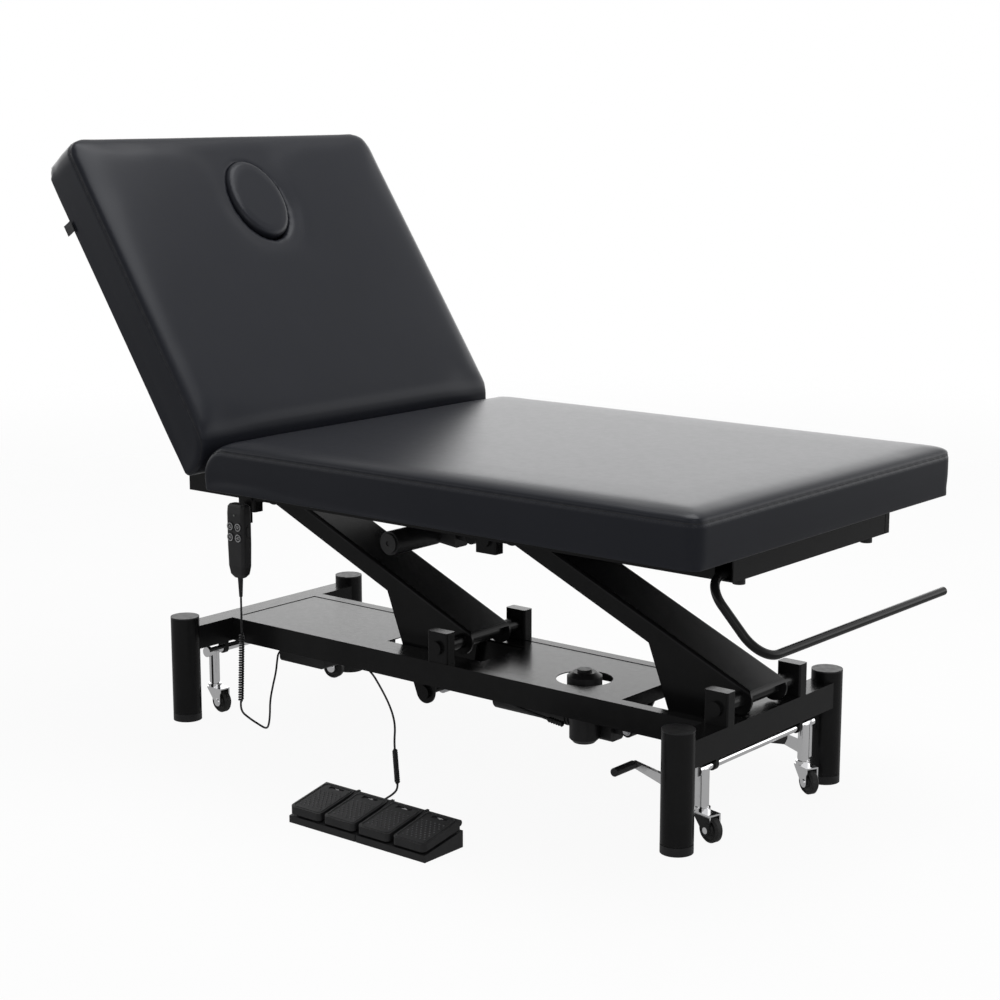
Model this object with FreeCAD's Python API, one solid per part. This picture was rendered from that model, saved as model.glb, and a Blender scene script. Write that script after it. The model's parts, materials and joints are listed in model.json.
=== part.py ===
import FreeCAD, Part
import math
import os

# Treatment table: a two-section couch on a parallelogram lift with four posts.
# +X runs to the foot end, +Y to the far side, +Z up. The origin is on the floor,
# midway between the four posts. All lengths are in millimetres, angles in degrees.

# Fits and clearances
run_fit = 0.05
weld_gap = 0.1
side_play = 0.5
soft_gap = 0.5
cut_over = 6.0
match_tol = 0.01
parallel_share = 0.001
steep_share = 0.9
diagonal_share = math.sqrt(0.5)
half_share = 0.5

# Posts of the base
post_spacing_x = 1256.0
post_spacing_y = 500.0
post_r = 30.0
post_h = 224.0
post_wall = 3.0
post_foot_h = 16.0
post_groove_h = 2.0
post_groove_depth = 2.0
post_cap_h = 3.0
post_plug_h = 14.0

# Beams, rails and panel of the base
beam_w = 50.0
beam_h = 50.0
beam_top = 203.0
beam_wall = 3.0
rail_w = 25.0
rail_wall = 2.5
tray_w = 274.0
panel_t = 2.0
panel_drop = 1.0
panel_end_x = 404.0
panel_flange_h = 28.0
arm_slot_x0 = -216.0
arm_slot_x1 = 36.0
arm_slot_gap = 3.0
motor_hole_r = 55.0

# Pivot blocks, shared by base and couch frame
block_x = 50.0
block_y = 26.0
block_h = 62.0
block_round = 4.0
block_outer_y = 135.0
base_pivot_rise = 30.0
frame_pivot_drop = 35.0
shaft_r = 10.0
shaft_head_r = 14.0
shaft_head_h = 7.0

# Lift arms
head_pivot_x = -25.0
foot_pivot_x = 628.0
arm_reach_x = 530.0
arm_w = 122.0
arm_plate = 5.0
arm_above = 25.4
arm_below = 14.4
arm_tube_r = 15.0
arm_boss_r = 28.0
arm_kink_u = 211.0
arm_neck_u = 45.0
arm_neck_drop = 25.0
arm_bend_r = 7.0
lug_u = 39.0
lug_drop = 153.0
lug_r = 24.0
lug_pin_r = 8.0

# Couch frame
frame_bottom = 502.0
frame_h = 50.0
frame_half_w = 264.0
frame_head_over = 31.0
frame_foot_x = 742.0
side_rail_w = 24.0
frame_wall = 3.0
end_rail_w = 40.0
head_rail_w = 36.0
head_rail_h = 24.0
cross_rail_w = 50.0
side_hole_r = 10.0
side_hole_inset = 16.0
side_hole_pitch = 32.0
end_groove_inset = 16.0
end_groove_w = 2.0

# Cushions
cushion_half_w = 437.0
cushion_t = 97.0
cushion_side_h = 87.0
cushion_edge_rise = 9.0
cushion_edge_run = 15.0
cushion_crown_run = 130.0
cushion_tuck = 2.5
cushion_tuck_share = 0.45
cushion_row_shares = (0.2, 0.45, 0.65, 0.85)
cushion_edge_turns = (0.0, 30.0, 60.0, 90.0)
back_plan_r = 47.0
seat_plan_r = 27.0
cushion_join_plan_r = 9.0
seat_from_hinge = 28.0
seat_end_r = 72.0
seat_foot_x = 786.0
back_len = 730.0
back_end_r = 87.0
back_angle = 56.2
face_hole_len = 186.0
face_hole_w = 146.0
face_hole_at = 562.0
face_plug_lift = 3.0

# Back section hinge, frame and lever
hinge_from_arm = 159.0
hinge_z = 556.0
hinge_to_back_end = 11.8
hinge_above_back = 2.5
hinge_pin_r = 5.0
hinge_ear_r = 9.0
hinge_ear_w = 16.0
hinge_arm_w = 10.0
hinge_arm_reach = 70.0
back_tube = 25.0
back_frame_len = 640.0
back_tube_wall = 2.5
back_frame_gap = 0.5
lever_along = 40.0
lever_down = 130.0
lever_plate = 6.0
lever_boss_r = 12.0
lever_pin_r = 6.0
lever_y = 82.0

# Linear actuators
act_tube_r = 19.0
act_bore_r = 15.0
act_rod_r = 8.0
act_eye_w = 18.0
act_eye_r = 14.0
act_tube_end = 330.0
act_box_len = 98.0
act_box_w = 42.0
act_box_h = 58.0
act_box_start = 34.0
act_rod_len = 290.0
act_round = 8.0
act_tail_r = 13.0
act_pin_r = 6.0
act_fork_t = 6.0
act_rib_n = 3
act_rib_w = 4.0
act_rib_h = 2.0

lift_rear_x = 350.0
lift_rear_z = 108.0
lift_motor_x = 265.0
lift_motor_y = -38.0
lift_motor_r = 29.0
lift_motor_bottom = 76.0
lift_motor_wide_r = 34.0
lift_motor_wide_z = 150.0
lift_motor_top = 208.0
lift_motor_cap_r = 23.0
lift_motor_cap_h = 8.0
lift_motor_button_r = 14.0
lift_motor_button_h = 5.0

back_rear_set_back = 68.0
back_rear_z = 455.0
back_motor_set_back = 96.0
back_motor_z = 453.0
back_motor_r = 23.5
back_motor_near_y = -230.0
back_motor_dimple_r = 5.0
back_motor_step = 4.0

# Castor gear
axle_z = 133.0
axle_r = 8.0
axle_half_len = 192.0
axle_knob_r = 11.0
axle_knob_w = 9.0
hanger_y = 142.0
hanger_w = 10.0
hanger_r = 11.0
stop_plate_y = (52.0, 128.0, 138.0)
stop_plate_z = (122.0, 99.0, 108.0)
stop_plate_t = 4.0
stop_plate_back = 16.0
leg_y = 170.0
leg_r = 11.0
leg_bottom = 62.0
stem_r = 6.0
stem_h = 32.0
fork_top_r = 14.0
fork_top_h = 5.0
fork_gap = 1.5
fork_plate = 3.0
fork_cheek_r = 10.0
wheel_r = 24.5
wheel_w = 18.0
wheel_floor_gap = 1.0
wheel_hub_r = 9.0
wheel_dish = 3.0
wheel_rim = 6.0
wheel_round = 4.0
wheel_pin_r = 4.0
wheel_nut_r = 6.0
wheel_nut_h = 2.0
wheel_trail = 22.0
castor_turns = {"foot_near": -13.0, "foot_far": -26.0, "head_near": -4.0, "head_far": 12.0}
pedal_bar_y = 187.0
pedal_bar_t = 8.0
pedal_bar_h = 29.0
pedal_bar_drop = 53.0
pedal_bar_rise = 34.0
pedal_bar_len = 140.0
pedal_tip_h = 12.0
pedal_strap_w = 16.0
pedal_pin_r = 5.0
pedal_grip_r = 8.0
pedal_grip_len = 60.0

# Paper roll bar
bar_r = 8.0
bar_inside_y = 100.0
bar_bend_y = -320.0
bar_out = 113.0
bar_down = 117.0
bar_free_y = 308.0
bar_bend_r = 52.0
bar_rest_gap = 0.3
clamp_inset = 49.0
clamp_shank_r = 4.0
clamp_head_r = 11.0
clamp_head_h = 10.0
clamp_neck_h = 3.0

# Control box under the tray
box_x0 = -488.0
box_x1 = -360.0
box_bottom = 124.0
box_round = 6.0
box_lug_r = 14.0
box_lug_w = 60.0
box_gland_r = 5.0
box_gland_len = 8.0
box_lug_drop = 12.0
box_rib_pitch = 16.0
box_rib_w = 6.0
box_rib_depth = 2.0

# Handset and its holder
handset_from_hinge = 18.0
handset_stand_off = 26.0
handset_top = 497.0
handset_len = 151.0
handset_w = 49.0
handset_t = 27.0
handset_round = 8.0
handset_section_shares = ((0.0, 0.45, 0.5), (0.05, 0.8, 0.8), (0.16, 0.95, 0.95), (0.45, 1.0, 1.0),
                          (0.88, 1.0, 1.0), (0.97, 0.96, 0.92), (1.0, 0.8, 0.7))
button_r = 9.0
button_h = 6.0
button_proud = 2.0
button_pitch_x = 22.0
button_pitch_z = 22.0
button_drop = 45.0
button_gap = 0.4
button_floor = 10.0
relief_len = 40.0
relief_top_r = 5.5
relief_low_r = 3.5
hook_t = 2.5
hook_w = 24.0
hook_gap = 3.4
hook_depth = 46.0
tongue_t = 2.6
tongue_w = 20.0
tongue_len = 28.0
tongue_bridge_h = 8.0

# Foot control on the floor
foot_x0 = -4.0
foot_len = 328.0
foot_front_y = -571.0
foot_depth = 102.0
foot_front_h = 13.0
foot_rear_h = 52.0
foot_shelf_rear_h = 31.0
foot_divider = 5.0
foot_divider_run = 90.0
foot_divider_rise = 6.0
foot_split = 2.0
foot_split_depth = 3.0
pedal_count = 4
pedal_t = 14.0
pedal_gap = 1.5
pedal_float = 4.6
pedal_corner_r = 9.0
pedal_hinge_r = 2.5
pedal_nose_r = 6.0
pedal_pit_len = 34.0
pedal_pit_w = 8.0
pedal_pit_depth = 2.0
foot_gland_r = 6.0
foot_gland_len = 14.0

# Cords: diameters, curls and routes chosen by hand, in millimetres
cord_d = 3.5
curl_out_d = 12.0
handset_curls = 28
foot_curls = 18
foot_curl_out_d = 11.0
motor_cord_d = 6.0
handset_curl_top = 230.0
cord_join_gap = 0.3
cord_straight = 20.0
foot_straight = 14.0
handset_curl_low = (-421.5, -290.0, 84.0)
handset_lead_route = ((-405.0, -282.0, 50.0), (-391.0, -271.0, 38.0), (-388.5, -255.0, 26.0),
                      (-401.0, -234.0, 21.5), (-418.4, -212.0, 36.5), (-441.0, -189.0, 59.2),
                      (-456.5, -165.0, 83.5), (-470.6, -141.0, 106.0), (-487.0, -121.0, 124.0),
                      (-496.0, -108.0, 138.0), (-490.0, -100.0, 147.0))
foot_upper_route = ((-352.0, -84.0, 146.0), (-332.0, -84.5, 145.0), (-300.0, -88.0, 146.5),
                    (-260.0, -98.0, 148.5), (-218.0, -116.0, 144.0), (-176.0, -138.0, 128.0),
                    (-138.0, -157.0, 109.0), (-105.0, -178.0, 92.0), (-80.0, -199.0, 76.0))
foot_curl_ends = ((-40.5, -244.3, 50.0), (25.0, -309.7, 10.5))
foot_lower_route = ((43.0, -341.0, 2.6), (50.0, -368.0, 2.6), (58.0, -397.0, 3.5), (62.0, -426.0, 8.5),
                    (66.0, -454.0, 14.0))
motor_cable_route = ((-352.0, -52.0, 168.0), (-318.0, -54.0, 170.0), (-272.0, -72.0, 173.0),
                     (-216.0, -88.0, 174.0), (-150.0, -91.0, 172.0), (-78.0, -90.0, 167.0),
                     (-6.0, -84.0, 157.0), (50.0, -72.0, 141.0), (100.0, -61.0, 125.0),
                     (150.0, -58.0, 116.0), (192.0, -54.0, 110.0))
motor_relief_len = 34.0
motor_relief_r = 6.0
motor_relief_ribs = 5

# Worked-out places
origin = FreeCAD.Vector(0, 0, 0)
beam_bottom = beam_top - beam_h
post_x = post_spacing_x / 2
post_y = post_spacing_y / 2
tray_half = tray_w / 2
rail_inner = tray_half - rail_w
base_pivot_z = beam_top + base_pivot_rise
frame_top = frame_bottom + frame_h
frame_pivot_z = frame_bottom - frame_pivot_drop
block_inner_y = block_outer_y - block_y
arm_rise = frame_pivot_z - base_pivot_z
arm_len = math.hypot(arm_reach_x, arm_rise)
arm_cos = arm_reach_x / arm_len
arm_sin = arm_rise / arm_len
head_upper_x = head_pivot_x - arm_reach_x
foot_upper_x = foot_pivot_x - arm_reach_x
rail_join_x = frame_foot_x - end_rail_w
back_cos = math.cos(math.radians(back_angle))
back_sin = math.sin(math.radians(back_angle))
bar_x = frame_foot_x - end_rail_w / 2
bar_z = frame_bottom + frame_wall + bar_r + bar_rest_gap
half_pi = math.pi / 2
handset_y = -frame_half_w - handset_stand_off
clamp_y = frame_half_w - clamp_inset
frame_head_x = head_upper_x - frame_head_over
hinge_x = head_upper_x + hinge_from_arm
seat_head_x = hinge_x + seat_from_hinge
handset_x = hinge_x - handset_from_hinge
back_rear_x = foot_upper_x - back_rear_set_back
back_motor_x = back_rear_x - back_motor_set_back


def vec(x, y, z):
    return FreeCAD.Vector(x, y, z)


def box(x0, x1, y0, y1, z0, z1):
    return Part.makeBox(x1 - x0, y1 - y0, z1 - z0, vec(x0, y0, z0))


def cyl_x(y, z, r, x0, x1):
    return Part.makeCylinder(r, x1 - x0, vec(x0, y, z), vec(1, 0, 0))


def cyl_y(x, z, r, y0, y1):
    return Part.makeCylinder(r, y1 - y0, vec(x, y0, z), vec(0, 1, 0))


def cyl_z(x, y, r, z0, z1):
    return Part.makeCylinder(r, z1 - z0, vec(x, y, z0), vec(0, 0, 1))


def polygon_prism(points, sweep):
    wire = Part.makePolygon(list(points) + [points[0]])
    return Part.Face(wire).extrude(sweep)


def edge_prism(edges, sweep):
    return Part.Face(Part.Wire(edges)).extrude(sweep)


def line(a, b):
    return Part.makeLine(a, b)


def arc(a, through, b):
    return Part.Arc(a, through, b).toShape()


def fuse(shapes):
    whole = shapes[0]
    for piece in shapes[1:]:
        whole = whole.fuse(piece)
    return whole.removeSplitter()


def rounded(solid, radius, direction):
    """Round every straight edge of a solid that runs along a direction."""
    edges = []
    for edge in solid.Edges:
        if isinstance(edge.Curve, (Part.Line, Part.LineSegment)):
            way = edge.lastVertex().Point - edge.firstVertex().Point
            if way.cross(direction).Length < parallel_share * way.Length:
                edges.append(edge)
    return solid.makeFillet(radius, edges)


def save(node, shapes):
    if not isinstance(shapes, list):
        shapes = [shapes]
    solids = [solid for shape in shapes for solid in shape.Solids]
    for solid in solids:
        if not solid.isValid():
            print("not valid:", node)
    shape = solids[0] if len(solids) == 1 else Part.makeCompound(solids)
    shape.exportStep("parts/" + node + ".step")


def posts():
    tubes, ends = [], []
    bore = post_r - post_wall
    for x in (-post_x, post_x):
        for y in (-post_y, post_y):
            low = post_foot_h + post_groove_h
            high = post_h - post_cap_h
            tubes.append(cyl_z(x, y, post_r, low, high).cut(cyl_z(x, y, bore, low, high)))
            plug = bore - weld_gap
            foot = cyl_z(x, y, post_r, 0, post_foot_h)
            neck = cyl_z(x, y, post_r - post_groove_depth, post_foot_h, low)
            spigot = cyl_z(x, y, plug, low, low + post_plug_h)
            ends.append(fuse([foot, neck, spigot]))
            cap = cyl_z(x, y, post_r, high, post_h)
            ends.append(fuse([cap, cyl_z(x, y, plug, high - post_plug_h, high)]))
    save("leg_posts", tubes)
    save("post_end_caps", ends)


def stop_plate(x):
    """A flat plate that hangs behind the cross shaft, with a slanted lower edge."""
    x0 = x - stop_plate_back - stop_plate_t
    corners = [vec(x0, y, z) for y, z in zip(stop_plate_y, stop_plate_z)]
    corners += [vec(x0, stop_plate_y[-1], beam_bottom), vec(x0, stop_plate_y[0], beam_bottom)]
    return polygon_prism(corners, vec(stop_plate_t, 0, 0))


def cross_beam(node, x, plates):
    half = beam_w / 2
    hollow = half - beam_wall
    beam = box(x - half, x + half, -post_y, post_y, beam_bottom, beam_top)
    inner = box(x - hollow, x + hollow, -post_y, post_y, beam_bottom + beam_wall, beam_top - beam_wall)
    beam = beam.cut(inner)
    hangers = []
    for y in (-hanger_y, hanger_y):
        y0 = y - hanger_w / 2
        y1 = y + hanger_w / 2
        cheek = box(x - hanger_r, x + hanger_r, y0, y1, axle_z, beam_bottom)
        hanger = fuse([cheek, cyl_y(x, axle_z, hanger_r, y0, y1)])
        hangers.append(hanger.cut(cyl_y(x, axle_z, axle_r + run_fit, y0, y1)))
    beam = fuse([beam] + hangers + plates)
    for y in (-post_y, post_y):
        beam = beam.cut(cyl_z(x, y, post_r + weld_gap, 0, post_h))
    save(node, beam)


def tray():
    reach = post_x - beam_w / 2
    for node, side in (("tray_rail_near", -1), ("tray_rail_far", 1)):
        y0, y1 = sorted((side * rail_inner, side * tray_half))
        rail = box(-reach, reach, y0, y1, beam_bottom, beam_top)
        hollow = box(-reach, reach, y0 + rail_wall, y1 - rail_wall,
                     beam_bottom + rail_wall, beam_top - rail_wall)
        save(node, rail.cut(hollow))
    top = beam_top - panel_drop
    panel = box(-reach, panel_end_x, -rail_inner, rail_inner, top - panel_t, top)
    flange = box(panel_end_x - panel_t, panel_end_x, -rail_inner, rail_inner, top - panel_flange_h, top)
    slot_half = arm_w / 2 + shaft_head_h + arm_slot_gap
    panel = fuse([panel, flange])
    panel = panel.cut(box(arm_slot_x0, arm_slot_x1, -slot_half, slot_half, top - cut_over, top + cut_over))
    hole = cyl_z(lift_motor_x, lift_motor_y, motor_hole_r, top - cut_over, top + cut_over)
    save("tray_panel", panel.cut(hole))


def pivot_set(node, xs, z0, z1, pivot_z):
    """Four upright blocks that carry two cross shafts, with a bolt head at each end."""
    pieces = []
    for x in xs:
        for side in (-1, 1):
            y0, y1 = sorted((side * block_inner_y, side * block_outer_y))
            block = box(x - block_x / 2, x + block_x / 2, y0, y1, z0, z1)
            block = rounded(block, block_round, vec(0, 0, 1))
            pieces.append(block.cut(cyl_y(x, pivot_z, shaft_r + run_fit, y0, y1)))
        shaft = cyl_y(x, pivot_z, shaft_r, -block_outer_y, block_outer_y)
        heads = []
        for y0, y1 in ((block_outer_y, block_outer_y + shaft_head_h),
                       (-block_outer_y - shaft_head_h, -block_outer_y)):
            heads.append(cyl_y(x, pivot_z, shaft_head_r, y0, y1))
        pieces.append(fuse([shaft] + heads))
    save(node, pieces)


def arm_point(pivot_x, u, v, y=0.0):
    """A point of an arm: u runs from the lower to the upper pivot, v stands square to it."""
    return vec(pivot_x - u * arm_cos + v * arm_sin, y, base_pivot_z + u * arm_sin + v * arm_cos)


def lift_arm(name, pivot_x):
    """A folded channel whose cheeks run down to a lever lug, and its two pivot tubes."""
    def at(u, v):
        return arm_point(pivot_x, u, v, -arm_w / 2)

    half = diagonal_share
    top_start = math.sqrt(arm_boss_r ** 2 - arm_above ** 2)
    neck_start = math.sqrt(arm_boss_r ** 2 - arm_neck_drop ** 2)
    tip_start = math.sqrt(arm_above ** 2 - arm_below ** 2)
    kink = (arm_kink_u, -arm_below)
    lug = (lug_u, -lug_drop)
    # The lever's two edges meet the lug's rim where they are square to its radius.
    left = tangent_point(kink, lug, lug_r, -1)
    right = tangent_point((arm_neck_u, -arm_neck_drop), lug, lug_r, 1)
    edges = [
        arc(at(-top_start, arm_above), at(-arm_boss_r, 0), at(neck_start, -arm_neck_drop)),
        line(at(neck_start, -arm_neck_drop), at(arm_neck_u, -arm_neck_drop)),
        line(at(arm_neck_u, -arm_neck_drop), at(*right)),
        arc(at(*right), at(lug_u - lug_r * half / 2, -lug_drop - lug_r * math.sqrt(1 - half ** 2 / 4)),
            at(*left)),
        line(at(*left), at(*kink)),
        line(at(*kink), at(arm_len - tip_start, -arm_below)),
        arc(at(arm_len - tip_start, -arm_below), at(arm_len + arm_above * half, -arm_above * half),
            at(arm_len, arm_above)),
        line(at(arm_len, arm_above), at(-top_start, arm_above)),
    ]
    body = edge_prism(edges, vec(0, arm_w, 0))
    fold = []
    for edge in body.Edges:
        if abs(edge.Length - edges[-1].Length) < match_tol:
            fold.append(edge)
    body = body.makeFillet(arm_bend_r, fold)
    inner = arm_w / 2 - arm_plate
    reach = arm_len + arm_boss_r + cut_over
    depth = lug_drop + lug_r + cut_over
    under = arm_above - arm_plate
    corners = ((-arm_boss_r - cut_over, under), (reach, under), (reach, -depth), (-arm_boss_r - cut_over, -depth))
    core = polygon_prism([arm_point(pivot_x, u, v, -inner) for u, v in corners], vec(0, 2 * inner, 0))
    body = body.cut(core)
    low = arm_point(pivot_x, 0, 0)
    high = arm_point(pivot_x, arm_len, 0)
    pin = arm_point(pivot_x, lug_u, -lug_drop)
    for place in (low, high):
        body = body.cut(cyl_y(place.x, place.z, arm_tube_r + weld_gap, -arm_w, arm_w))
    body = body.cut(cyl_y(pin.x, pin.z, lug_pin_r + run_fit, -arm_w, arm_w))
    save(name + "_channel", body)
    tube_half = block_inner_y - side_play
    tubes = []
    for place in (low, high):
        tube = cyl_y(place.x, place.z, arm_tube_r, -tube_half, tube_half)
        tubes.append(tube.cut(cyl_y(place.x, place.z, shaft_r + run_fit, -tube_half, tube_half)))
    return pin, tubes


def tangent_point(start, centre, radius, side):
    """Where a line from a point touches a circle, on one side of it."""
    du = centre[0] - start[0]
    dv = centre[1] - start[1]
    gap = math.hypot(du, dv)
    run = math.sqrt(gap ** 2 - radius ** 2)
    turn = side * math.asin(radius / gap)
    heading = math.atan2(dv, du) - turn
    return (start[0] + run * math.cos(heading), start[1] + run * math.sin(heading))


def arms():
    pin, tubes = lift_arm("head_arm", head_pivot_x)
    half = arm_w / 2
    bolt = cyl_y(pin.x, pin.z, lug_pin_r, -half, half)
    heads = []
    for y0, y1 in ((half, half + shaft_head_h), (-half - shaft_head_h, -half)):
        heads.append(cyl_y(pin.x, pin.z, lug_pin_r + act_fork_t, y0, y1))
    save("head_arm_tubes", tubes + [fuse([bolt] + heads)])
    save("foot_arm_tubes", lift_arm("foot_arm", foot_pivot_x)[1])
    return pin


def couch_frame():
    inner = frame_half_w - side_rail_w
    for node, side in (("side_rail_near", -1), ("side_rail_far", 1)):
        y0, y1 = sorted((side * inner, side * frame_half_w))
        rail = box(frame_head_x, rail_join_x, y0, y1, frame_bottom, frame_top)
        rail = rail.cut(box(frame_head_x, rail_join_x, y0 + frame_wall, y1 - frame_wall,
                            frame_bottom + frame_wall, frame_top - frame_wall))
        hole_z = frame_bottom + frame_h / 2
        for step in range(2):
            x = rail_join_x - side_hole_inset - step * side_hole_pitch
            rail = rail.cut(cyl_y(x, hole_z, side_hole_r, y0 - cut_over, y1 + cut_over))
        mid = (y0 + y1) / 2
        ear = cyl_y(hinge_x, hinge_z, hinge_ear_r, mid - hinge_ear_w / 2, mid + hinge_ear_w / 2)
        ear = ear.common(box(hinge_x - hinge_ear_r, hinge_x + hinge_ear_r, y0, y1,
                             frame_top, hinge_z + hinge_ear_r))
        pin_in = side * (inner - side_play - hinge_arm_w)
        p0, p1 = sorted((pin_in, mid))
        pin = cyl_y(hinge_x, hinge_z, hinge_pin_r, p0, p1)
        save(node, fuse([rail, ear, pin]))

    hollow = end_rail_w / 2 - frame_wall
    end = box(rail_join_x, frame_foot_x, -frame_half_w, frame_half_w, frame_bottom, frame_top)
    cap_y = frame_half_w - end_groove_inset
    end = end.cut(box(bar_x - hollow, bar_x + hollow, -frame_half_w - cut_over, cap_y,
                      frame_bottom + frame_wall, frame_top - frame_wall))
    groove = end_groove_w / 2
    ring = box(rail_join_x - cut_over, frame_foot_x + cut_over, cap_y - groove, cap_y + groove,
               frame_bottom - cut_over, frame_top + cut_over)
    core = box(rail_join_x + groove, frame_foot_x - groove, cap_y - groove, cap_y + groove,
               frame_bottom + groove, frame_top - groove)
    end = end.cut(ring.cut(core))
    for y in (-clamp_y, clamp_y):
        end = end.cut(cyl_z(bar_x, y, clamp_shank_r + weld_gap, frame_bottom - cut_over, bar_z))
    save("end_rail_foot", end)

    head_x1 = frame_head_x + head_rail_w
    head = box(frame_head_x, head_x1, -inner, inner, frame_bottom, frame_bottom + head_rail_h)
    head = head.cut(box(frame_head_x + frame_wall, head_x1 - frame_wall, -inner, inner,
                        frame_bottom + frame_wall, frame_bottom + head_rail_h - frame_wall))
    save("end_rail_head", head)

    half = cross_rail_w / 2
    x0 = foot_upper_x - half
    cross = box(x0, foot_upper_x + half, -inner, inner, frame_bottom, frame_top)
    cross = cross.cut(box(x0 + frame_wall, foot_upper_x + half - frame_wall, -inner, inner,
                          frame_bottom + frame_wall, frame_top - frame_wall))
    fork = []
    for side in (-1, 1):
        y0, y1 = sorted((-lever_y + side * (act_eye_w / 2 + side_play),
                         -lever_y + side * (act_eye_w / 2 + side_play + act_fork_t)))
        lobe = cyl_y(back_rear_x, back_rear_z, act_tail_r, y0, y1)
        outline = [vec(back_rear_x, y0, back_rear_z - act_tail_r), vec(x0, y0, frame_bottom + act_tail_r),
                   vec(x0, y0, frame_top), vec(x0 - act_tail_r, y0, frame_top),
                   vec(back_rear_x - act_tail_r, y0, back_rear_z)]
        fork.append(fuse([lobe, polygon_prism(outline, vec(0, y1 - y0, 0))]))
    reach = act_eye_w / 2 + side_play + act_fork_t
    pin = cyl_y(back_rear_x, back_rear_z, act_pin_r, -lever_y - reach, -lever_y + reach)
    save("cross_rail_mid", fuse([cross] + fork + [pin]))


def section(l0, l1, half_w, n, r_join, r_far):
    """A rounded rectangle at height n, with one radius at each end."""
    quarter = diagonal_share
    a = l0 + r_join
    b = l1 - r_far
    w_join = half_w - r_join
    w_far = half_w - r_far
    edges = [
        line(vec(a, -half_w, n), vec(b, -half_w, n)),
        arc(vec(b, -half_w, n), vec(b + r_far * quarter, -w_far - r_far * quarter, n), vec(l1, -w_far, n)),
        line(vec(l1, -w_far, n), vec(l1, w_far, n)),
        arc(vec(l1, w_far, n), vec(b + r_far * quarter, w_far + r_far * quarter, n), vec(b, half_w, n)),
        line(vec(b, half_w, n), vec(a, half_w, n)),
        arc(vec(a, half_w, n), vec(a - r_join * quarter, w_join + r_join * quarter, n), vec(l0, w_join, n)),
        line(vec(l0, w_join, n), vec(l0, -w_join, n)),
        arc(vec(l0, -w_join, n), vec(a - r_join * quarter, -w_join - r_join * quarter, n), vec(a, -half_w, n)),
    ]
    return Part.Wire(edges)


def cushion(length, end_r, plan_r):
    """A crowned pad: tucked sides, a rounded upper edge and a large round at the joined end."""
    round_centre = cushion_t - end_r
    rows = [(0.0, cushion_tuck)]
    for share in cushion_row_shares:
        rows.append((cushion_side_h * share, cushion_tuck * max(0.0, 1 - share / cushion_tuck_share)))
    for turn in cushion_edge_turns:
        angle = math.radians(turn)
        rows.append((cushion_side_h + cushion_edge_rise * math.sin(angle),
                     cushion_edge_run * (1 - math.cos(angle))))
    rows.append((cushion_t, cushion_crown_run))
    wires = []
    for n, inset in rows:
        over = max(0.0, n - round_centre)
        back_off = end_r - math.sqrt(max(0.0, end_r ** 2 - over ** 2))
        join = max(back_off, inset)
        if inset == cushion_crown_run:
            join = back_off + cushion_crown_run
        r_far = plan_r + inset * (plan_r - cushion_edge_run) / cushion_crown_run
        r_join = cushion_join_plan_r + back_off * cushion_join_plan_r / end_r
        wires.append(section(join, length - inset, cushion_half_w - inset, n, r_join, r_far))
    return Part.makeLoft(wires, True, True)


def back_placement():
    """From the back section's own frame (along, across, out of its face) to the table's frame."""
    along = vec(-back_cos, 0, back_sin)
    out = vec(back_sin, 0, back_cos)
    foot = vec(hinge_x, 0, hinge_z) + along * hinge_to_back_end - out * hinge_above_back
    matrix = FreeCAD.Matrix(along.x, 0, out.x, foot.x, 0, -1, 0, 0, along.z, 0, out.z, foot.z, 0, 0, 0, 1)
    return FreeCAD.Placement(matrix)


def placed(solid, placement):
    moved = solid.copy()
    moved.Placement = placement.multiply(moved.Placement)
    return moved


def oval_prism(length, width, n0, n1):
    curve = Part.Ellipse(vec(face_hole_at, 0, n0), length / 2, width / 2)
    return Part.Face(Part.Wire(curve.toShape())).extrude(vec(0, 0, n1 - n0))


def cushions():
    seat = cushion(seat_foot_x - seat_head_x, seat_end_r, seat_plan_r)
    seat.translate(vec(seat_head_x, 0, frame_top))
    save("seat_cushion", seat)
    placement = back_placement()
    hole = oval_prism(face_hole_len, face_hole_w, -cut_over, cushion_t + cut_over)
    pad = cushion(back_len, back_end_r, back_plan_r).cut(hole)
    save("backrest_cushion", placed(pad, placement))
    plug_len = face_hole_len - 2 * soft_gap
    plug_w = face_hole_w - 2 * soft_gap
    plug = oval_prism(plug_len, plug_w, 0, cushion_t + face_plug_lift)
    rim = plug.Edges
    top = [edge for edge in rim if edge.CenterOfMass.z > cushion_t]
    plug = plug.makeFillet(cushion_edge_rise, top)
    save("face_plug", placed(plug, placement))


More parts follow.
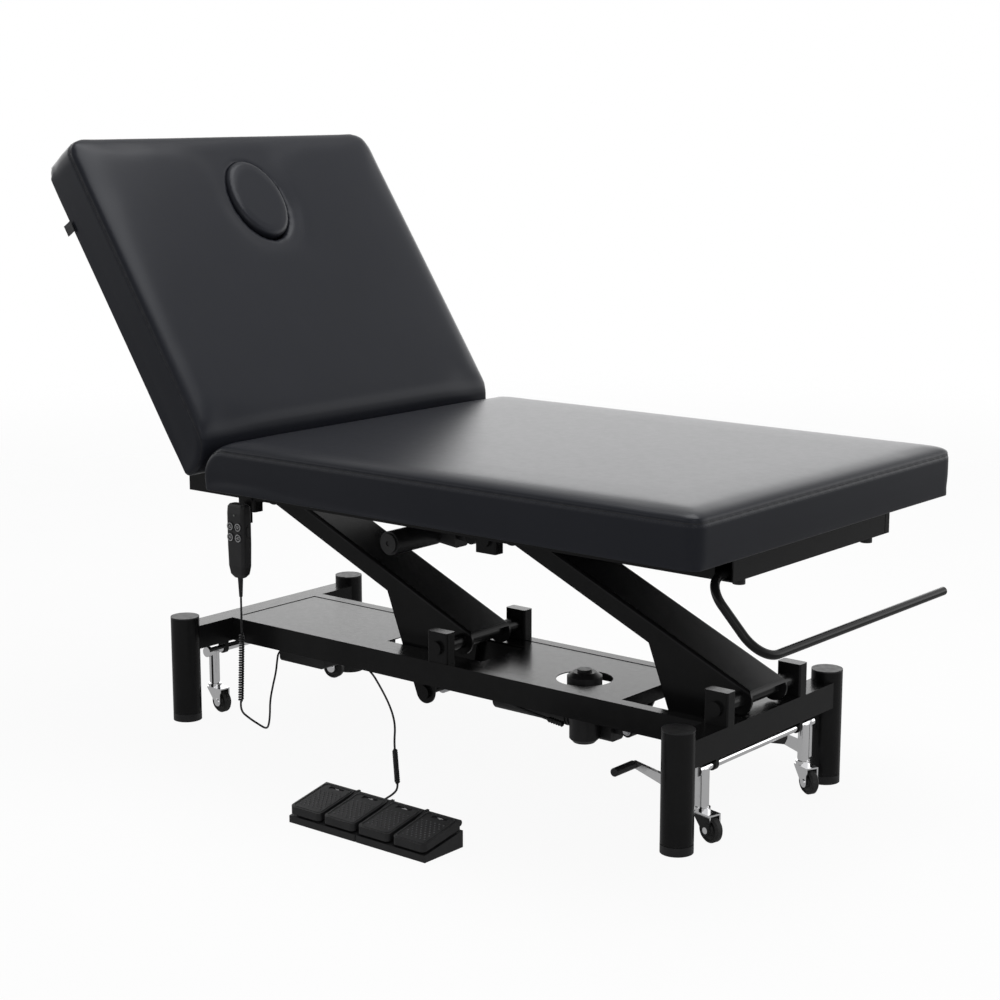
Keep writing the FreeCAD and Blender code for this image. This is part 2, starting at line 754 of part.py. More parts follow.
def back_frame():
    """A ladder of square tubes under the back section, with hinge arms and the push lever."""
    placement = back_placement()
    across = frame_half_w - side_rail_w - side_play - hinge_arm_w
    low = -back_tube - back_frame_gap
    high = -back_frame_gap
    pieces = []
    for side in (-1, 1):
        y0, y1 = sorted((side * across, side * (across - back_tube)))
        pieces.append(box(0, back_frame_len, y0, y1, low, high))
        a0, a1 = sorted((side * across, side * (across + hinge_arm_w)))
        knuckle = cyl_y(-hinge_to_back_end, hinge_above_back, hinge_ear_r, a0, a1)
        outline = [vec(-hinge_to_back_end - hinge_ear_r, a0, hinge_above_back),
                   vec(-hinge_to_back_end, a0, low), vec(hinge_arm_reach, a0, low),
                   vec(hinge_arm_reach, a0, high), vec(-hinge_to_back_end / 2, a0, high)]
        pieces.append(fuse([knuckle, polygon_prism(outline, vec(0, a1 - a0, 0))]))
    inside = across - back_tube
    lever_s = lever_along - hinge_to_back_end
    lever_n = hinge_above_back - lever_down
    tube_s = lever_s + lever_boss_r
    pieces.append(box(tube_s, tube_s + back_tube, -inside, inside, low, high))
    pieces.append(box(back_frame_len - back_tube, back_frame_len, -inside, inside, low, high))
    for side in (-1, 1):
        y0, y1 = sorted((lever_y + side * (act_eye_w / 2 + side_play),
                         lever_y + side * (act_eye_w / 2 + side_play + lever_plate)))
        lobe = cyl_y(lever_s, lever_n, lever_boss_r, y0, y1)
        outline = [vec(lever_s - lever_boss_r, y0, lever_n), vec(lever_s + lever_boss_r, y0, lever_n),
                   vec(tube_s + back_tube, y0, low), vec(tube_s - lever_boss_r, y0, low)]
        pieces.append(fuse([lobe, polygon_prism(outline, vec(0, y1 - y0, 0))]))
    reach = act_eye_w / 2 + side_play + lever_plate
    pieces.append(cyl_y(lever_s, lever_n, lever_pin_r, lever_y - reach, lever_y + reach))
    frame = fuse(pieces)
    frame = frame.cut(cyl_y(-hinge_to_back_end, hinge_above_back, hinge_pin_r + run_fit,
                            -frame_half_w, frame_half_w))
    save("backrest_frame", placed(frame, placement))


def actuator_placement(rear, front, y):
    """From an actuator's own frame (along the spindle, across, above) to the table's frame."""
    gap = math.hypot(front[0] - rear[0], front[1] - rear[1])
    c = (front[0] - rear[0]) / gap
    s = (front[1] - rear[1]) / gap
    matrix = FreeCAD.Matrix(c, 0, s, rear[0], 0, -1, 0, y, s, 0, -c, rear[1], 0, 0, 0, 1)
    return FreeCAD.Placement(matrix), gap


def actuator_body(tail_pin_r):
    """Spindle tube, gear case and tail eye, drawn along X from the rear pin."""
    case = box(act_box_start, act_box_start + act_box_len, -act_box_w / 2, act_box_w / 2,
               -act_box_h / 2, act_box_h / 2)
    case = rounded(case, act_round, vec(1, 0, 0))
    tube = cyl_x(0, 0, act_tube_r, act_box_start + act_box_len, act_tube_end)
    collars = []
    for step in range(act_rib_n):
        x0 = act_box_start + act_box_len + step * 2 * act_rib_w
        collars.append(cyl_x(0, 0, act_tube_r + act_rib_h, x0, x0 + act_rib_w))
    tail = fuse([cyl_y(0, 0, act_tail_r, -act_eye_w / 2, act_eye_w / 2),
                 box(0, act_box_start, -act_eye_w / 2, act_eye_w / 2, -act_tail_r, act_tail_r)])
    body = fuse([case, tube, tail] + collars)
    body = body.cut(cyl_x(0, 0, act_bore_r, act_box_start + act_box_len, act_tube_end + cut_over))
    return body.cut(cyl_y(0, 0, tail_pin_r + run_fit, -act_box_w, act_box_w))


def actuator_rod(gap, eye_pin_r):
    shank = cyl_x(0, 0, act_rod_r, gap - act_rod_len, gap)
    eye = cyl_y(gap, 0, act_eye_r, -act_eye_w / 2, act_eye_w / 2)
    rod = fuse([shank, eye])
    return rod.cut(cyl_y(gap, 0, eye_pin_r + run_fit, -act_eye_w, act_eye_w))


def lift_actuator(pin):
    rear = (lift_rear_x, lift_rear_z)
    placement, gap = actuator_placement(rear, (pin.x, pin.z), 0.0)
    save("lift_actuator_rod", placed(actuator_rod(gap, lug_pin_r), placement))
    body = placed(actuator_body(act_pin_r), placement)
    seat = lift_motor_r + weld_gap
    wide = lift_motor_wide_r + weld_gap
    body = body.cut(cyl_z(lift_motor_x, lift_motor_y, seat, 0, lift_motor_wide_z))
    body = body.cut(cyl_z(lift_motor_x, lift_motor_y, wide, lift_motor_wide_z - weld_gap, lift_motor_top))
    save("lift_actuator_housing", body)
    rows = [(0, lift_motor_bottom), (lift_motor_r - act_round, lift_motor_bottom),
            (lift_motor_r, lift_motor_bottom + act_round), (lift_motor_r, lift_motor_wide_z),
            (lift_motor_wide_r, lift_motor_wide_z), (lift_motor_wide_r, lift_motor_top),
            (lift_motor_cap_r, lift_motor_top + lift_motor_cap_h),
            (lift_motor_button_r, lift_motor_top + lift_motor_cap_h),
            (lift_motor_button_r, lift_motor_top + lift_motor_cap_h + lift_motor_button_h),
            (0, lift_motor_top + lift_motor_cap_h + lift_motor_button_h)]
    ring = [vec(r, 0, z) for r, z in rows]
    motor = Part.Face(Part.makePolygon(ring + [ring[0]])).revolve(origin, vec(0, 0, 1), 360)
    motor.translate(vec(lift_motor_x, lift_motor_y, 0))
    save("lift_actuator_motor", motor)
    reach = act_eye_w / 2 + side_play + act_fork_t
    top = beam_top - panel_drop - panel_t
    pieces = [cyl_y(lift_rear_x, lift_rear_z, act_pin_r, -reach, reach)]
    foot_x = lift_rear_x + act_tail_r
    for side in (-1, 1):
        y0, y1 = sorted((side * (act_eye_w / 2 + side_play), side * reach))
        lobe = cyl_y(lift_rear_x, lift_rear_z, act_tail_r, y0, y1)
        outline = [vec(lift_rear_x - act_tail_r, y0, lift_rear_z), vec(foot_x, y0, lift_rear_z),
                   vec(panel_end_x - panel_t, y0, top - act_tail_r), vec(panel_end_x - panel_t, y0, top),
                   vec(lift_rear_x, y0, top)]
        pieces.append(fuse([lobe, polygon_prism(outline, vec(0, y1 - y0, 0))]))
    strap = box(foot_x, panel_end_x - panel_t, -rail_inner, rail_inner, top - act_fork_t, top)
    save("lift_rear_bracket", fuse(pieces + [strap]))


def back_actuator():
    rear = (back_rear_x, back_rear_z)
    along = lever_along
    front = (hinge_x - along * back_cos - lever_down * back_sin,
             hinge_z + along * back_sin - lever_down * back_cos)
    placement, gap = actuator_placement(rear, front, -lever_y)
    save("back_actuator_rod", placed(actuator_rod(gap, lever_pin_r), placement))
    body = placed(actuator_body(act_pin_r), placement)
    far_y = -lever_y - act_box_w / 2 + act_round
    seat = cyl_y(back_motor_x, back_motor_z, back_motor_r + weld_gap, back_motor_near_y, far_y + weld_gap)
    save("back_actuator_housing", body.cut(seat))
    motor = cyl_y(back_motor_x, back_motor_z, back_motor_r, back_motor_near_y + back_motor_step, far_y)
    nose = cyl_y(back_motor_x, back_motor_z, back_motor_r - back_motor_step, back_motor_near_y,
                 back_motor_near_y + back_motor_step)
    dimple = cyl_y(back_motor_x, back_motor_z, back_motor_dimple_r, back_motor_near_y,
                   back_motor_near_y + back_motor_step / 2)
    save("back_actuator_motor", fuse([motor, nose]).cut(dimple))


def castor_axle(x, inward, bar_sides):
    """A cross shaft with two legs; bars with grips reach inward from the legs."""
    shaft = cyl_y(x, axle_z, axle_r, -axle_half_len, axle_half_len)
    pieces = [shaft]
    for y0 in (-axle_half_len, axle_half_len - axle_knob_w):
        pieces.append(cyl_y(x, axle_z, axle_knob_r, y0, y0 + axle_knob_w))
    for y in (-leg_y, leg_y):
        pieces.append(cyl_z(x, y, leg_r, leg_bottom, axle_z))
    grips = []
    for side in bar_sides:
        y0, y1 = sorted((side * (pedal_bar_y - pedal_bar_t), side * pedal_bar_y))
        z = axle_z - pedal_bar_drop
        half = pedal_bar_h / 2
        tip = pedal_tip_h / 2
        end_x = x + inward * pedal_bar_len
        end_z = z + pedal_bar_rise
        outline = [vec(x, y0, z - half), vec(x, y0, z + half), vec(end_x, y0, end_z + tip),
                   vec(end_x, y0, end_z - tip)]
        bar = polygon_prism(outline, vec(0, y1 - y0, 0))
        strap = box(x - pedal_strap_w / 2, x + pedal_strap_w / 2, y0, y1, z - half, axle_z)
        lobe = cyl_y(end_x, end_z, tip, y0, y1)
        g0, g1 = sorted((side * pedal_bar_y, side * (pedal_bar_y + pedal_grip_len)))
        pin = cyl_y(end_x, end_z, pedal_pin_r, g0 + pedal_tip_h if side < 0 else g0,
                    g1 if side < 0 else g1 - pedal_tip_h)
        grip = cyl_y(end_x, end_z, pedal_grip_r, g0, g1)
        grip = grip.makeFillet(pedal_bar_t / 4, grip.Edges)
        grips.append(grip.cut(pin))
        pieces += [bar, strap, lobe, pin]
    whole = fuse(pieces)
    for y in (-leg_y, leg_y):
        whole = whole.cut(cyl_z(x, y, stem_r + run_fit, leg_bottom, leg_bottom + stem_h + side_play))
    return whole, grips


def castor(place, x, y):
    """A swivel fork with its stem in the leg, and a dished wheel on its pin."""
    turn = castor_turns[place]
    axle_height = wheel_r + wheel_floor_gap
    half = wheel_w / 2
    top = leg_bottom - side_play
    cheek0 = half + fork_gap
    cheek1 = cheek0 + fork_plate
    roof = axle_height + wheel_r + fork_gap
    pieces = [cyl_z(0, 0, stem_r, roof, leg_bottom + stem_h), cyl_z(0, 0, fork_top_r, roof, top)]
    pieces.append(box(-fork_cheek_r, wheel_trail + fork_cheek_r, -cheek1, cheek1, roof, roof + fork_plate))
    for y0 in (-cheek1, cheek0):
        outline = [vec(-fork_cheek_r, y0, roof), vec(wheel_trail + fork_cheek_r, y0, roof),
                   vec(wheel_trail + fork_cheek_r, y0, axle_height),
                   vec(wheel_trail - fork_cheek_r, y0, axle_height)]
        lobe = cyl_y(wheel_trail, axle_height, fork_cheek_r, y0, y0 + fork_plate)
        pieces.append(fuse([polygon_prism(outline, vec(0, fork_plate, 0)), lobe]))
    pieces.append(cyl_y(wheel_trail, axle_height, wheel_pin_r, -cheek1, cheek1))
    for y0 in (-cheek1 - wheel_nut_h, cheek1):
        pieces.append(cyl_y(wheel_trail, axle_height, wheel_nut_r, y0, y0 + wheel_nut_h))
    fork = fuse(pieces)
    tyre_half = half - wheel_dish
    rows = [(wheel_pin_r + run_fit, -half), (wheel_hub_r, -half), (wheel_hub_r + wheel_dish, -tyre_half),
            (wheel_r - wheel_rim, -tyre_half), (wheel_r - wheel_round, -half),
            (wheel_r, -half + wheel_round), (wheel_r, half - wheel_round), (wheel_r - wheel_round, half),
            (wheel_r - wheel_rim, tyre_half), (wheel_hub_r + wheel_dish, tyre_half),
            (wheel_hub_r, half), (wheel_pin_r + run_fit, half)]
    ring = [vec(wheel_trail + r, across, axle_height) for r, across in rows]
    hub = vec(wheel_trail, 0, axle_height)
    wheel = Part.Face(Part.makePolygon(ring + [ring[0]])).revolve(hub, vec(0, 1, 0), 360)
    for node, solid in (("castor_fork_" + place, fork), ("castor_wheel_" + place, wheel)):
        solid.rotate(origin, vec(0, 0, 1), turn)
        solid.translate(vec(x, y, 0))
        save(node, solid)


def castor_gear():
    axle, grips = castor_axle(-post_x, 1, (1,))
    save("castor_axle_head", [axle] + grips)
    axle, grips = castor_axle(post_x, -1, (-1, 1))
    save("castor_axle_foot", axle)
    save("castor_lever_grips", grips)
    for end, x in (("head", -post_x), ("foot", post_x)):
        for side, y in (("near", -leg_y), ("far", leg_y)):
            castor(end + "_" + side, x, y)


def bent_path(points, radius_of):
    """Straight runs joined by tangent arcs; radius_of gives each corner's radius."""
    edges = []
    radii = []
    start = points[0]
    for i in range(1, len(points) - 1):
        into = points[i - 1] - points[i]
        out = points[i + 1] - points[i]
        turn = math.pi - into.getAngle(out)
        radius = radius_of(min(into.Length, out.Length), turn)
        trim = radius * math.tan(turn / 2)
        into.normalize()
        out.normalize()
        a = points[i] + into * trim
        b = points[i] + out * trim
        middle = (into + out).normalize()
        centre = points[i] + middle * (radius / math.cos(turn / 2))
        edges.append(line(start, a))
        edges.append(arc(a, centre - middle * radius, b))
        radii.append(round(radius, 1))
        start = b
    edges.append(line(start, points[-1]))
    return Part.Wire(edges), radii


def pipe(path, radius, start, direction):
    ring = Part.Wire(Part.makeCircle(radius, start, direction))
    return path.makePipeShell([ring], True, True)


def cord_tube(name, route, diameter):
    points = [vec(*place) for place in route]
    share = 0.45
    path, radii = bent_path(points, lambda run, turn: share * run / math.tan(turn / 2))
    tube = pipe(path, diameter / 2, points[0], points[1] - points[0])
    plain = math.pi * (diameter / 2) ** 2 * path.Length
    print(name, "length", round(path.Length, 1), "volume share", round(tube.Volume / plain, 4), "radii", radii)
    return tube


def curl_tube(name, a, b, turns, out_d):
    """A helix of quarter-turn arcs from a to b whose ends turn to run straight along its axis."""
    axis = b - a
    length = axis.Length
    axis.normalize()
    helper = vec(0, 0, 1) if abs(axis.z) < steep_share else vec(1, 0, 0)
    side = axis.cross(helper).normalize()
    other = axis.cross(side)
    radius = (out_d - cord_d) / 2
    lead = radius + cord_d
    pitch = (length - 2 * lead) / turns
    steps = turns * 4

    def at(step):
        angle = step * half_pi
        along = lead + pitch * step / 4
        return a + axis * along + side * (radius * math.cos(angle)) + other * (radius * math.sin(angle))

    def turn_out(place, tangent, way):
        """An arc from the wound wire's end to the direction of the curl's axis, and its straight end."""
        full = tangent.getAngle(axis)
        across = (tangent - axis * math.cos(full)).normalize()

        def on_arc(angle):
            drop = axis * math.sin(angle) + across * (1 - math.cos(angle))
            return place + (axis * math.sin(full) + across * (1 - math.cos(full)) - drop) * (way * radius)

        tip = on_arc(0) + axis * (way * cord_d)
        return on_arc(0), on_arc(full / 2), tip

    turns_of_wire = []
    for step in range(steps):
        turns_of_wire.append(arc(at(step), at(step + half_share), at(step + 1)))
    first, last = turns_of_wire[0], turns_of_wire[-1]
    foot_in, mid_in, start = turn_out(at(0), first.tangentAt(first.FirstParameter), -1)
    foot_out, mid_out, end = turn_out(at(steps), last.tangentAt(last.LastParameter), 1)
    edges = [line(start, foot_in), arc(foot_in, mid_in, at(0))] + turns_of_wire
    edges += [arc(at(steps), mid_out, foot_out), line(foot_out, end)]
    path = Part.Wire(edges)
    tube = pipe(path, cord_d / 2, start, axis)
    plain = math.pi * (cord_d / 2) ** 2 * path.Length
    fine = 4
    samples = [at(i / fine) for i in range(steps * fine + 1)]
    gap = min((samples[i] - samples[j]).Length for i in range(0, len(samples), fine)
              for j in range(i + 2 * fine, min(i + 10 * fine, len(samples)))) - cord_d
    print(name, "turns", turns, "length", round(path.Length, 1), "least gap to itself", round(gap, 2),
          "volume share", round(tube.Volume / plain, 4), "valid", tube.isValid())
    return tube, start, end, axis


def cords():
    top = vec(handset_x, handset_y, handset_top - handset_len - relief_len - soft_gap)
    curl, start, end, axis = curl_tube("handset cord curl", vec(handset_x, handset_y, handset_curl_top),
                                       vec(*handset_curl_low), handset_curls, curl_out_d)
    save("handset_cord_curl", curl)
    low = start - axis * cord_straight
    middle = (top + low) / 2 + vec(cord_d / 4, 0, 0)
    upper = cord_tube("handset cord, upper lead", (top, middle, low, start - axis * cord_join_gap), cord_d)
    leave = (end + axis * cord_join_gap, end + axis * cord_straight)
    lower = cord_tube("handset cord, lower lead", leave + handset_lead_route, cord_d)
    save("handset_cord_leads", [upper, lower])
    curl, start, end, axis = curl_tube("foot cord curl", vec(*foot_curl_ends[0]), vec(*foot_curl_ends[1]),
                                       foot_curls, foot_curl_out_d)
    save("foot_cord_curl", curl)
    arrive = (start - axis * cord_straight, start - axis * cord_join_gap)
    upper = cord_tube("foot cord, upper lead", foot_upper_route + arrive, cord_d)
    leave = (end + axis * cord_join_gap, end + axis * foot_straight)
    lower = cord_tube("foot cord, lower lead", leave + foot_lower_route, cord_d)
    save("foot_cord_leads", [upper, lower])
    cable = cord_tube("lift motor cable", motor_cable_route, motor_cord_d)
    end = vec(*motor_cable_route[-1])
    way = end - vec(*motor_cable_route[-2])
    way.normalize()
    relief = []
    rib = motor_relief_len / (2 * motor_relief_ribs)
    core = Part.makeCylinder(motor_relief_r - cord_d / 4, motor_relief_len, end, way)
    for step in range(motor_relief_ribs):
        relief.append(Part.makeCylinder(motor_relief_r, rib, end + way * (2 * step * rib), way))
    motor = cyl_z(lift_motor_x, lift_motor_y, lift_motor_r + weld_gap, 0, post_h)
    save("lift_motor_cable", [cable, fuse([core] + relief).cut(motor)])


def paper_bar():
    corner_a = vec(bar_x, bar_bend_y, bar_z)
    corner_b = vec(bar_x + bar_out, bar_bend_y, bar_z - bar_down)
    points = [vec(bar_x, bar_inside_y, bar_z), corner_a, corner_b,
              vec(bar_x + bar_out, bar_free_y, bar_z - bar_down)]
    path, radii = bent_path(points, lambda run, turn: bar_bend_r)
    bar = pipe(path, bar_r, points[0], points[1] - points[0])
    save("paper_roll_bar", bar)
    screws = []
    for y in (-clamp_y, clamp_y):
        low = frame_bottom - clamp_head_h - clamp_neck_h
        head = cyl_z(bar_x, y, clamp_head_r, low, frame_bottom - clamp_neck_h)
        neck = cyl_z(bar_x, y, clamp_head_r / 2, frame_bottom - clamp_neck_h, frame_bottom)
        tip = bar_z - bar_r - bar_rest_gap if y < bar_inside_y else bar_z
        screws.append(fuse([head, neck, cyl_z(bar_x, y, clamp_shank_r, frame_bottom, tip)]))
    save("bar_clamp_screws", screws)


def control_box():
    top = beam_top - panel_drop - panel_t
    body = box(box_x0, box_x1, -rail_inner, rail_inner, box_bottom, top)
    body = rounded(body, box_round, vec(0, 1, 0))
    count = int((box_x1 - box_x0 - 2 * box_round) // box_rib_pitch)
    for step in range(count):
        x0 = box_x0 + box_round + box_rib_w / 2 + step * box_rib_pitch
        body = body.cut(box(x0, x0 + box_rib_w, -rail_inner + box_round, rail_inner - box_round,
                            box_bottom - box_rib_depth, box_bottom + box_rib_depth))
    lug_z = box_bottom + box_lug_drop
    lug = cyl_y(box_x1, lug_z, box_lug_r, -box_lug_w / 2, box_lug_w / 2)
    lug = lug.cut(box(box_x0, box_x1 - box_round, -rail_inner, rail_inner, box_bottom - box_lug_r, top))
    glands = []
    for _, y, z in (foot_upper_route[0], motor_cable_route[0]):
        glands.append(cyl_x(y, z, box_gland_r, box_x1 - box_round, box_x1 + box_gland_len))
    save("control_box", fuse([body, lug] + glands))


def handset():
    wires = []
    quarter = diagonal_share
    low = handset_top - handset_len
    for rise, wide, deep in handset_section_shares:
        w = handset_w * wide / 2
        t = handset_t * deep / 2
        r = handset_round * min(wide, deep)
        z = low + handset_len * rise
        corners = ((1, -1), (1, 1), (-1, 1), (-1, -1))
        edges = []
        ends = []
        for sx, sy in corners:
            cx = handset_x + sx * (w - r)
            cy = handset_y + sy * (t - r)
            first = vec(cx, cy + sy * r, z) if sx * sy < 0 else vec(cx + sx * r, cy, z)
            last = vec(cx + sx * r, cy, z) if sx * sy < 0 else vec(cx, cy + sy * r, z)
            ends.append((first, vec(cx + sx * r * quarter, cy + sy * r * quarter, z), last))
        for i, (first, mid, last) in enumerate(ends):
            edges.append(arc(first, mid, last))
            edges.append(line(last, ends[(i + 1) % len(ends)][0]))
        wires.append(Part.Wire(edges))
    shell = Part.makeLoft(wires, True, True)
    back_y = handset_y + handset_t / 2
    plate_y = -frame_half_w - hook_t
    tongue_y = plate_y - (hook_gap + tongue_t) / 2
    top_z = handset_top - handset_round
    side = tongue_w / 2
    tongue = box(handset_x - side, handset_x + side, tongue_y, tongue_y + tongue_t,
                 handset_top - tongue_len, top_z)
    bridge = box(handset_x - side, handset_x + side, back_y - handset_round, tongue_y + tongue_t,
                 top_z - tongue_bridge_h, top_z)
    shell = fuse([shell, tongue, bridge])
    front_y = handset_y - handset_t / 2
    number = 1
    for row in range(2):
        for column in range(2):
            x = handset_x + (2 * column - 1) * button_pitch_x / 2
            z = handset_top - button_drop - row * button_pitch_z
            shell = shell.cut(cyl_y(x, z, button_r + button_gap, front_y - cut_over, front_y + button_floor))
            cap = cyl_y(x, z, button_r, front_y - button_proud, front_y + button_h)
            save("handset_button_" + str(number), cap.makeFillet(button_proud / 2, [cap.Edges[2]]))
            number += 1
    save("handset_shell", shell)
    relief = Part.makeCone(relief_low_r, relief_top_r, relief_len, vec(handset_x, handset_y, low - relief_len))
    save("handset_strain_relief", relief)
    hook_x0 = handset_x - hook_w / 2
    hook_x1 = handset_x + hook_w / 2
    bottom = frame_bottom - hook_depth
    back = box(hook_x0, hook_x1, plate_y, -frame_half_w, bottom, frame_bottom + hook_depth / 2)
    front_face = plate_y - hook_gap - hook_t
    web = box(hook_x0, hook_x1, front_face, plate_y, bottom, bottom + hook_t)
    lip_top = top_z - tongue_bridge_h - side_play
    lip = box(hook_x0, hook_x1, front_face, front_face + hook_t, bottom, lip_top)
    save("handset_hook", fuse([back, web, lip]))


def foot_control():
    """A wedge-shaped floor unit: shelf, ribs with a hinge pin at the rear, and four treads."""
    rear_y = foot_front_y + foot_depth
    slope = (foot_shelf_rear_h - foot_front_h) / foot_depth
    x1 = foot_x0 + foot_len
    outline = [vec(foot_x0, foot_front_y, 0), vec(foot_x0, rear_y, 0), vec(foot_x0, rear_y, foot_shelf_rear_h),
               vec(foot_x0, foot_front_y, foot_front_h)]
    pin_y = rear_y - pedal_nose_r - side_play
    pin_z = foot_rear_h - pedal_nose_r - side_play
    pieces = [polygon_prism(outline, vec(foot_len, 0, 0))]
    pitch = (foot_len + foot_divider) / pedal_count
    rib_y = rear_y - foot_divider_run
    rib = [vec(foot_x0, rib_y, 0), vec(foot_x0, rear_y, 0), vec(foot_x0, rear_y, foot_rear_h),
           vec(foot_x0, pin_y, foot_rear_h), vec(foot_x0, rib_y, foot_front_h + foot_divider_rise)]
    for step in range(1, pedal_count):
        wall = polygon_prism(rib, vec(foot_divider, 0, 0))
        wall.translate(vec(step * pitch - foot_divider, 0, 0))
        pieces.append(wall)
    pieces.append(cyl_x(pin_y, pin_z, pedal_hinge_r, foot_x0 + pedal_gap, x1 - pedal_gap))
    mid = foot_x0 + foot_len / 2
    base = fuse(pieces)
    for y0, y1 in ((foot_front_y - cut_over, foot_front_y + foot_split_depth),
                   (rear_y - foot_split_depth, rear_y + cut_over)):
        base = base.cut(box(mid - foot_split / 2, mid + foot_split / 2, y0, y1, 0, foot_rear_h + cut_over))
    gland = foot_lower_route[-1]
    boss = Part.makeCone(foot_gland_r, cord_d, foot_gland_len, vec(gland[0], rear_y, gland[2]), vec(0, 1, 0))
    save("foot_control_base", fuse([base, boss]))
    for step in range(pedal_count):
        x_left = foot_x0 + step * pitch + pedal_gap
        width = pitch - foot_divider - 2 * pedal_gap
        low_front = foot_front_h + pedal_float
        low_rear = foot_front_h + pedal_float + slope * (pin_y - foot_front_y)
        side = [vec(x_left, foot_front_y, low_front), vec(x_left, pin_y, low_rear),
                vec(x_left, pin_y, pin_z + pedal_nose_r), vec(x_left, foot_front_y, low_front + pedal_t)]
        tread = polygon_prism(side, vec(width, 0, 0))
        corners = []
        for edge in tread.Edges:
            way = edge.lastVertex().Point - edge.firstVertex().Point
            if way.x == 0 and way.y == 0 and edge.CenterOfMass.y < rear_y - foot_depth / 2:
                corners.append(edge)
        tread = tread.makeFillet(pedal_corner_r, corners)
        nose = cyl_x(pin_y, pin_z, pedal_nose_r, x_left, x_left + width)
        tread = fuse([tread, nose])
        tread = tread.cut(cyl_x(pin_y, pin_z, pedal_hinge_r + run_fit, x_left, x_left + width))
        mid_x = x_left + width / 2
        pit = box(mid_x - pedal_pit_len / 2, mid_x + pedal_pit_len / 2, pin_y - pedal_pit_w * 2,
                  pin_y - pedal_pit_w, pin_z + pedal_nose_r - 2 * pedal_pit_depth, pin_z + pedal_nose_r + cut_over)
        save("foot_pedal_" + str(step + 1), tread.cut(pit))


posts()
cross_beam("cross_beam_head", -post_x, [])
cross_beam("cross_beam_foot", post_x, [stop_plate(post_x)])
tray()
pivot_set("base_pivot_blocks", (head_pivot_x, foot_pivot_x), beam_top, beam_top + block_h, base_pivot_z)
pivot_set("frame_pivot_blocks", (head_upper_x, foot_upper_x), frame_bottom - block_h, frame_bottom, frame_pivot_z)
lever_pin = arms()
couch_frame()
cushions()
back_frame()
lift_actuator(lever_pin)
back_actuator()
castor_gear()
paper_bar()
control_box()
handset()
foot_control()
cords()
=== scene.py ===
import json
import math

import bpy
import numpy as np
from mathutils import Matrix, Vector
from mathutils.bvhtree import BVHTree
from mathutils.kdtree import KDTree


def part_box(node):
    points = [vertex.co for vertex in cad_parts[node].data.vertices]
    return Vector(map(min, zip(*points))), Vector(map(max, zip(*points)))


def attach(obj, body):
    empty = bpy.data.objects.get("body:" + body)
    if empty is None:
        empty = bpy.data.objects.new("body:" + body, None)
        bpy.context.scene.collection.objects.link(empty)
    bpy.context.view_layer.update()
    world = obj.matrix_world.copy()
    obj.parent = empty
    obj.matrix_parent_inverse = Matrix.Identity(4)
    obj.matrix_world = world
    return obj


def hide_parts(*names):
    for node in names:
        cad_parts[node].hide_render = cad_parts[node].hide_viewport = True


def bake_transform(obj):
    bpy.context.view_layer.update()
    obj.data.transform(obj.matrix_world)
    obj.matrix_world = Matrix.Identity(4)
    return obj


# Treatment table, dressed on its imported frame. Metres; +X to the foot end, -Y the near side, +Z up.

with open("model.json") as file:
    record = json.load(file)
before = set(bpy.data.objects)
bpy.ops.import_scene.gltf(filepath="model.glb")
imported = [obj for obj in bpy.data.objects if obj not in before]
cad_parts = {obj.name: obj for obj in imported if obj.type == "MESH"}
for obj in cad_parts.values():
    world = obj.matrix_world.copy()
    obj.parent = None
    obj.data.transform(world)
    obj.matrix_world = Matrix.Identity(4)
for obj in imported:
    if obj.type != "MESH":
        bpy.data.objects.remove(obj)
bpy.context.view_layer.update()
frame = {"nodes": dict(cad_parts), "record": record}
nodes = frame["nodes"]
scene = bpy.context.scene

MM = 0.001

# Camera
CAMERA_AZIMUTH = math.radians(39.23)
CAMERA_ELEVATION = math.radians(10.94)
CAMERA_TARGET = Vector((-0.0008, 0.0398, 0.5093))
CAMERA_DISTANCE = 4.15
CAMERA_LENS = 74.82
CAMERA_SENSOR = 36.0
CAMERA_SHIFT = (-0.0029, -0.0017)

# Cords: routes in millimetres, close to those of the part's source; the curled cords are drawn thicker
CORD_D = 4.2 * MM
CURL_D = 12 * MM
FOOT_CURL_D = 11 * MM
MOTOR_CORD_D = 6 * MM
HANDSET_CURLS = 28
FOOT_CURLS = 18
POINTS_PER_TURN = 14
HANDSET_PLUG_LEAD = 32 * MM
RELIEF_R = 6 * MM
RELIEF_LEN = 34 * MM
RELIEF_IN = 2 * MM
RELIEF_RIBS = 6
RELIEF_RIB_DEPTH = 1.3 * MM
RELIEF_RIB_STEPS = 4
HANDSET_TOP_ROUTE = (
    (-414, -290, 305.5), (-413.5, -290.5, 276), (-413, -291, 250), (-414, -290, 230))
HANDSET_ROUTE = (
    (-421.5, -290, 84), (-423, -291.5, 66), (-405, -282, 50), (-391, -271, 38), (-388.5, -255, 26),
    (-401, -234, 21.5), (-418.4, -212, 36.5), (-441, -189, 59.2), (-456.5, -165, 83.5),
    (-470.6, -141, 106), (-487, -121, 124), (-496, -108, 138), (-489, -100, 147))
FOOT_TOP_ROUTE = (
    (-352, -84, 146), (-332, -84.5, 145), (-300, -88, 146.5), (-260, -98, 148.5), (-218, -116, 144),
    (-176, -138, 128), (-138, -157, 109), (-105, -178, 92), (-80, -199, 76), (-54, -231, 58),
    (-40.5, -244.3, 50))
FOOT_LOW_ROUTE = (
    (25, -309.7, 10.5), (34, -319, 5), (43, -341, 2.6), (50, -368, 2.6), (58, -397, 3.5),
    (62, -426, 8.5), (66, -454, 14))
MOTOR_ROUTE = (
    (-352, -52, 168), (-318, -54, 170), (-272, -72, 173), (-216, -88, 174), (-150, -91, 172),
    (-78, -90, 167), (-6, -84, 157), (50, -72, 141), (100, -61, 125), (150, -58, 116), (192, -54, 110))

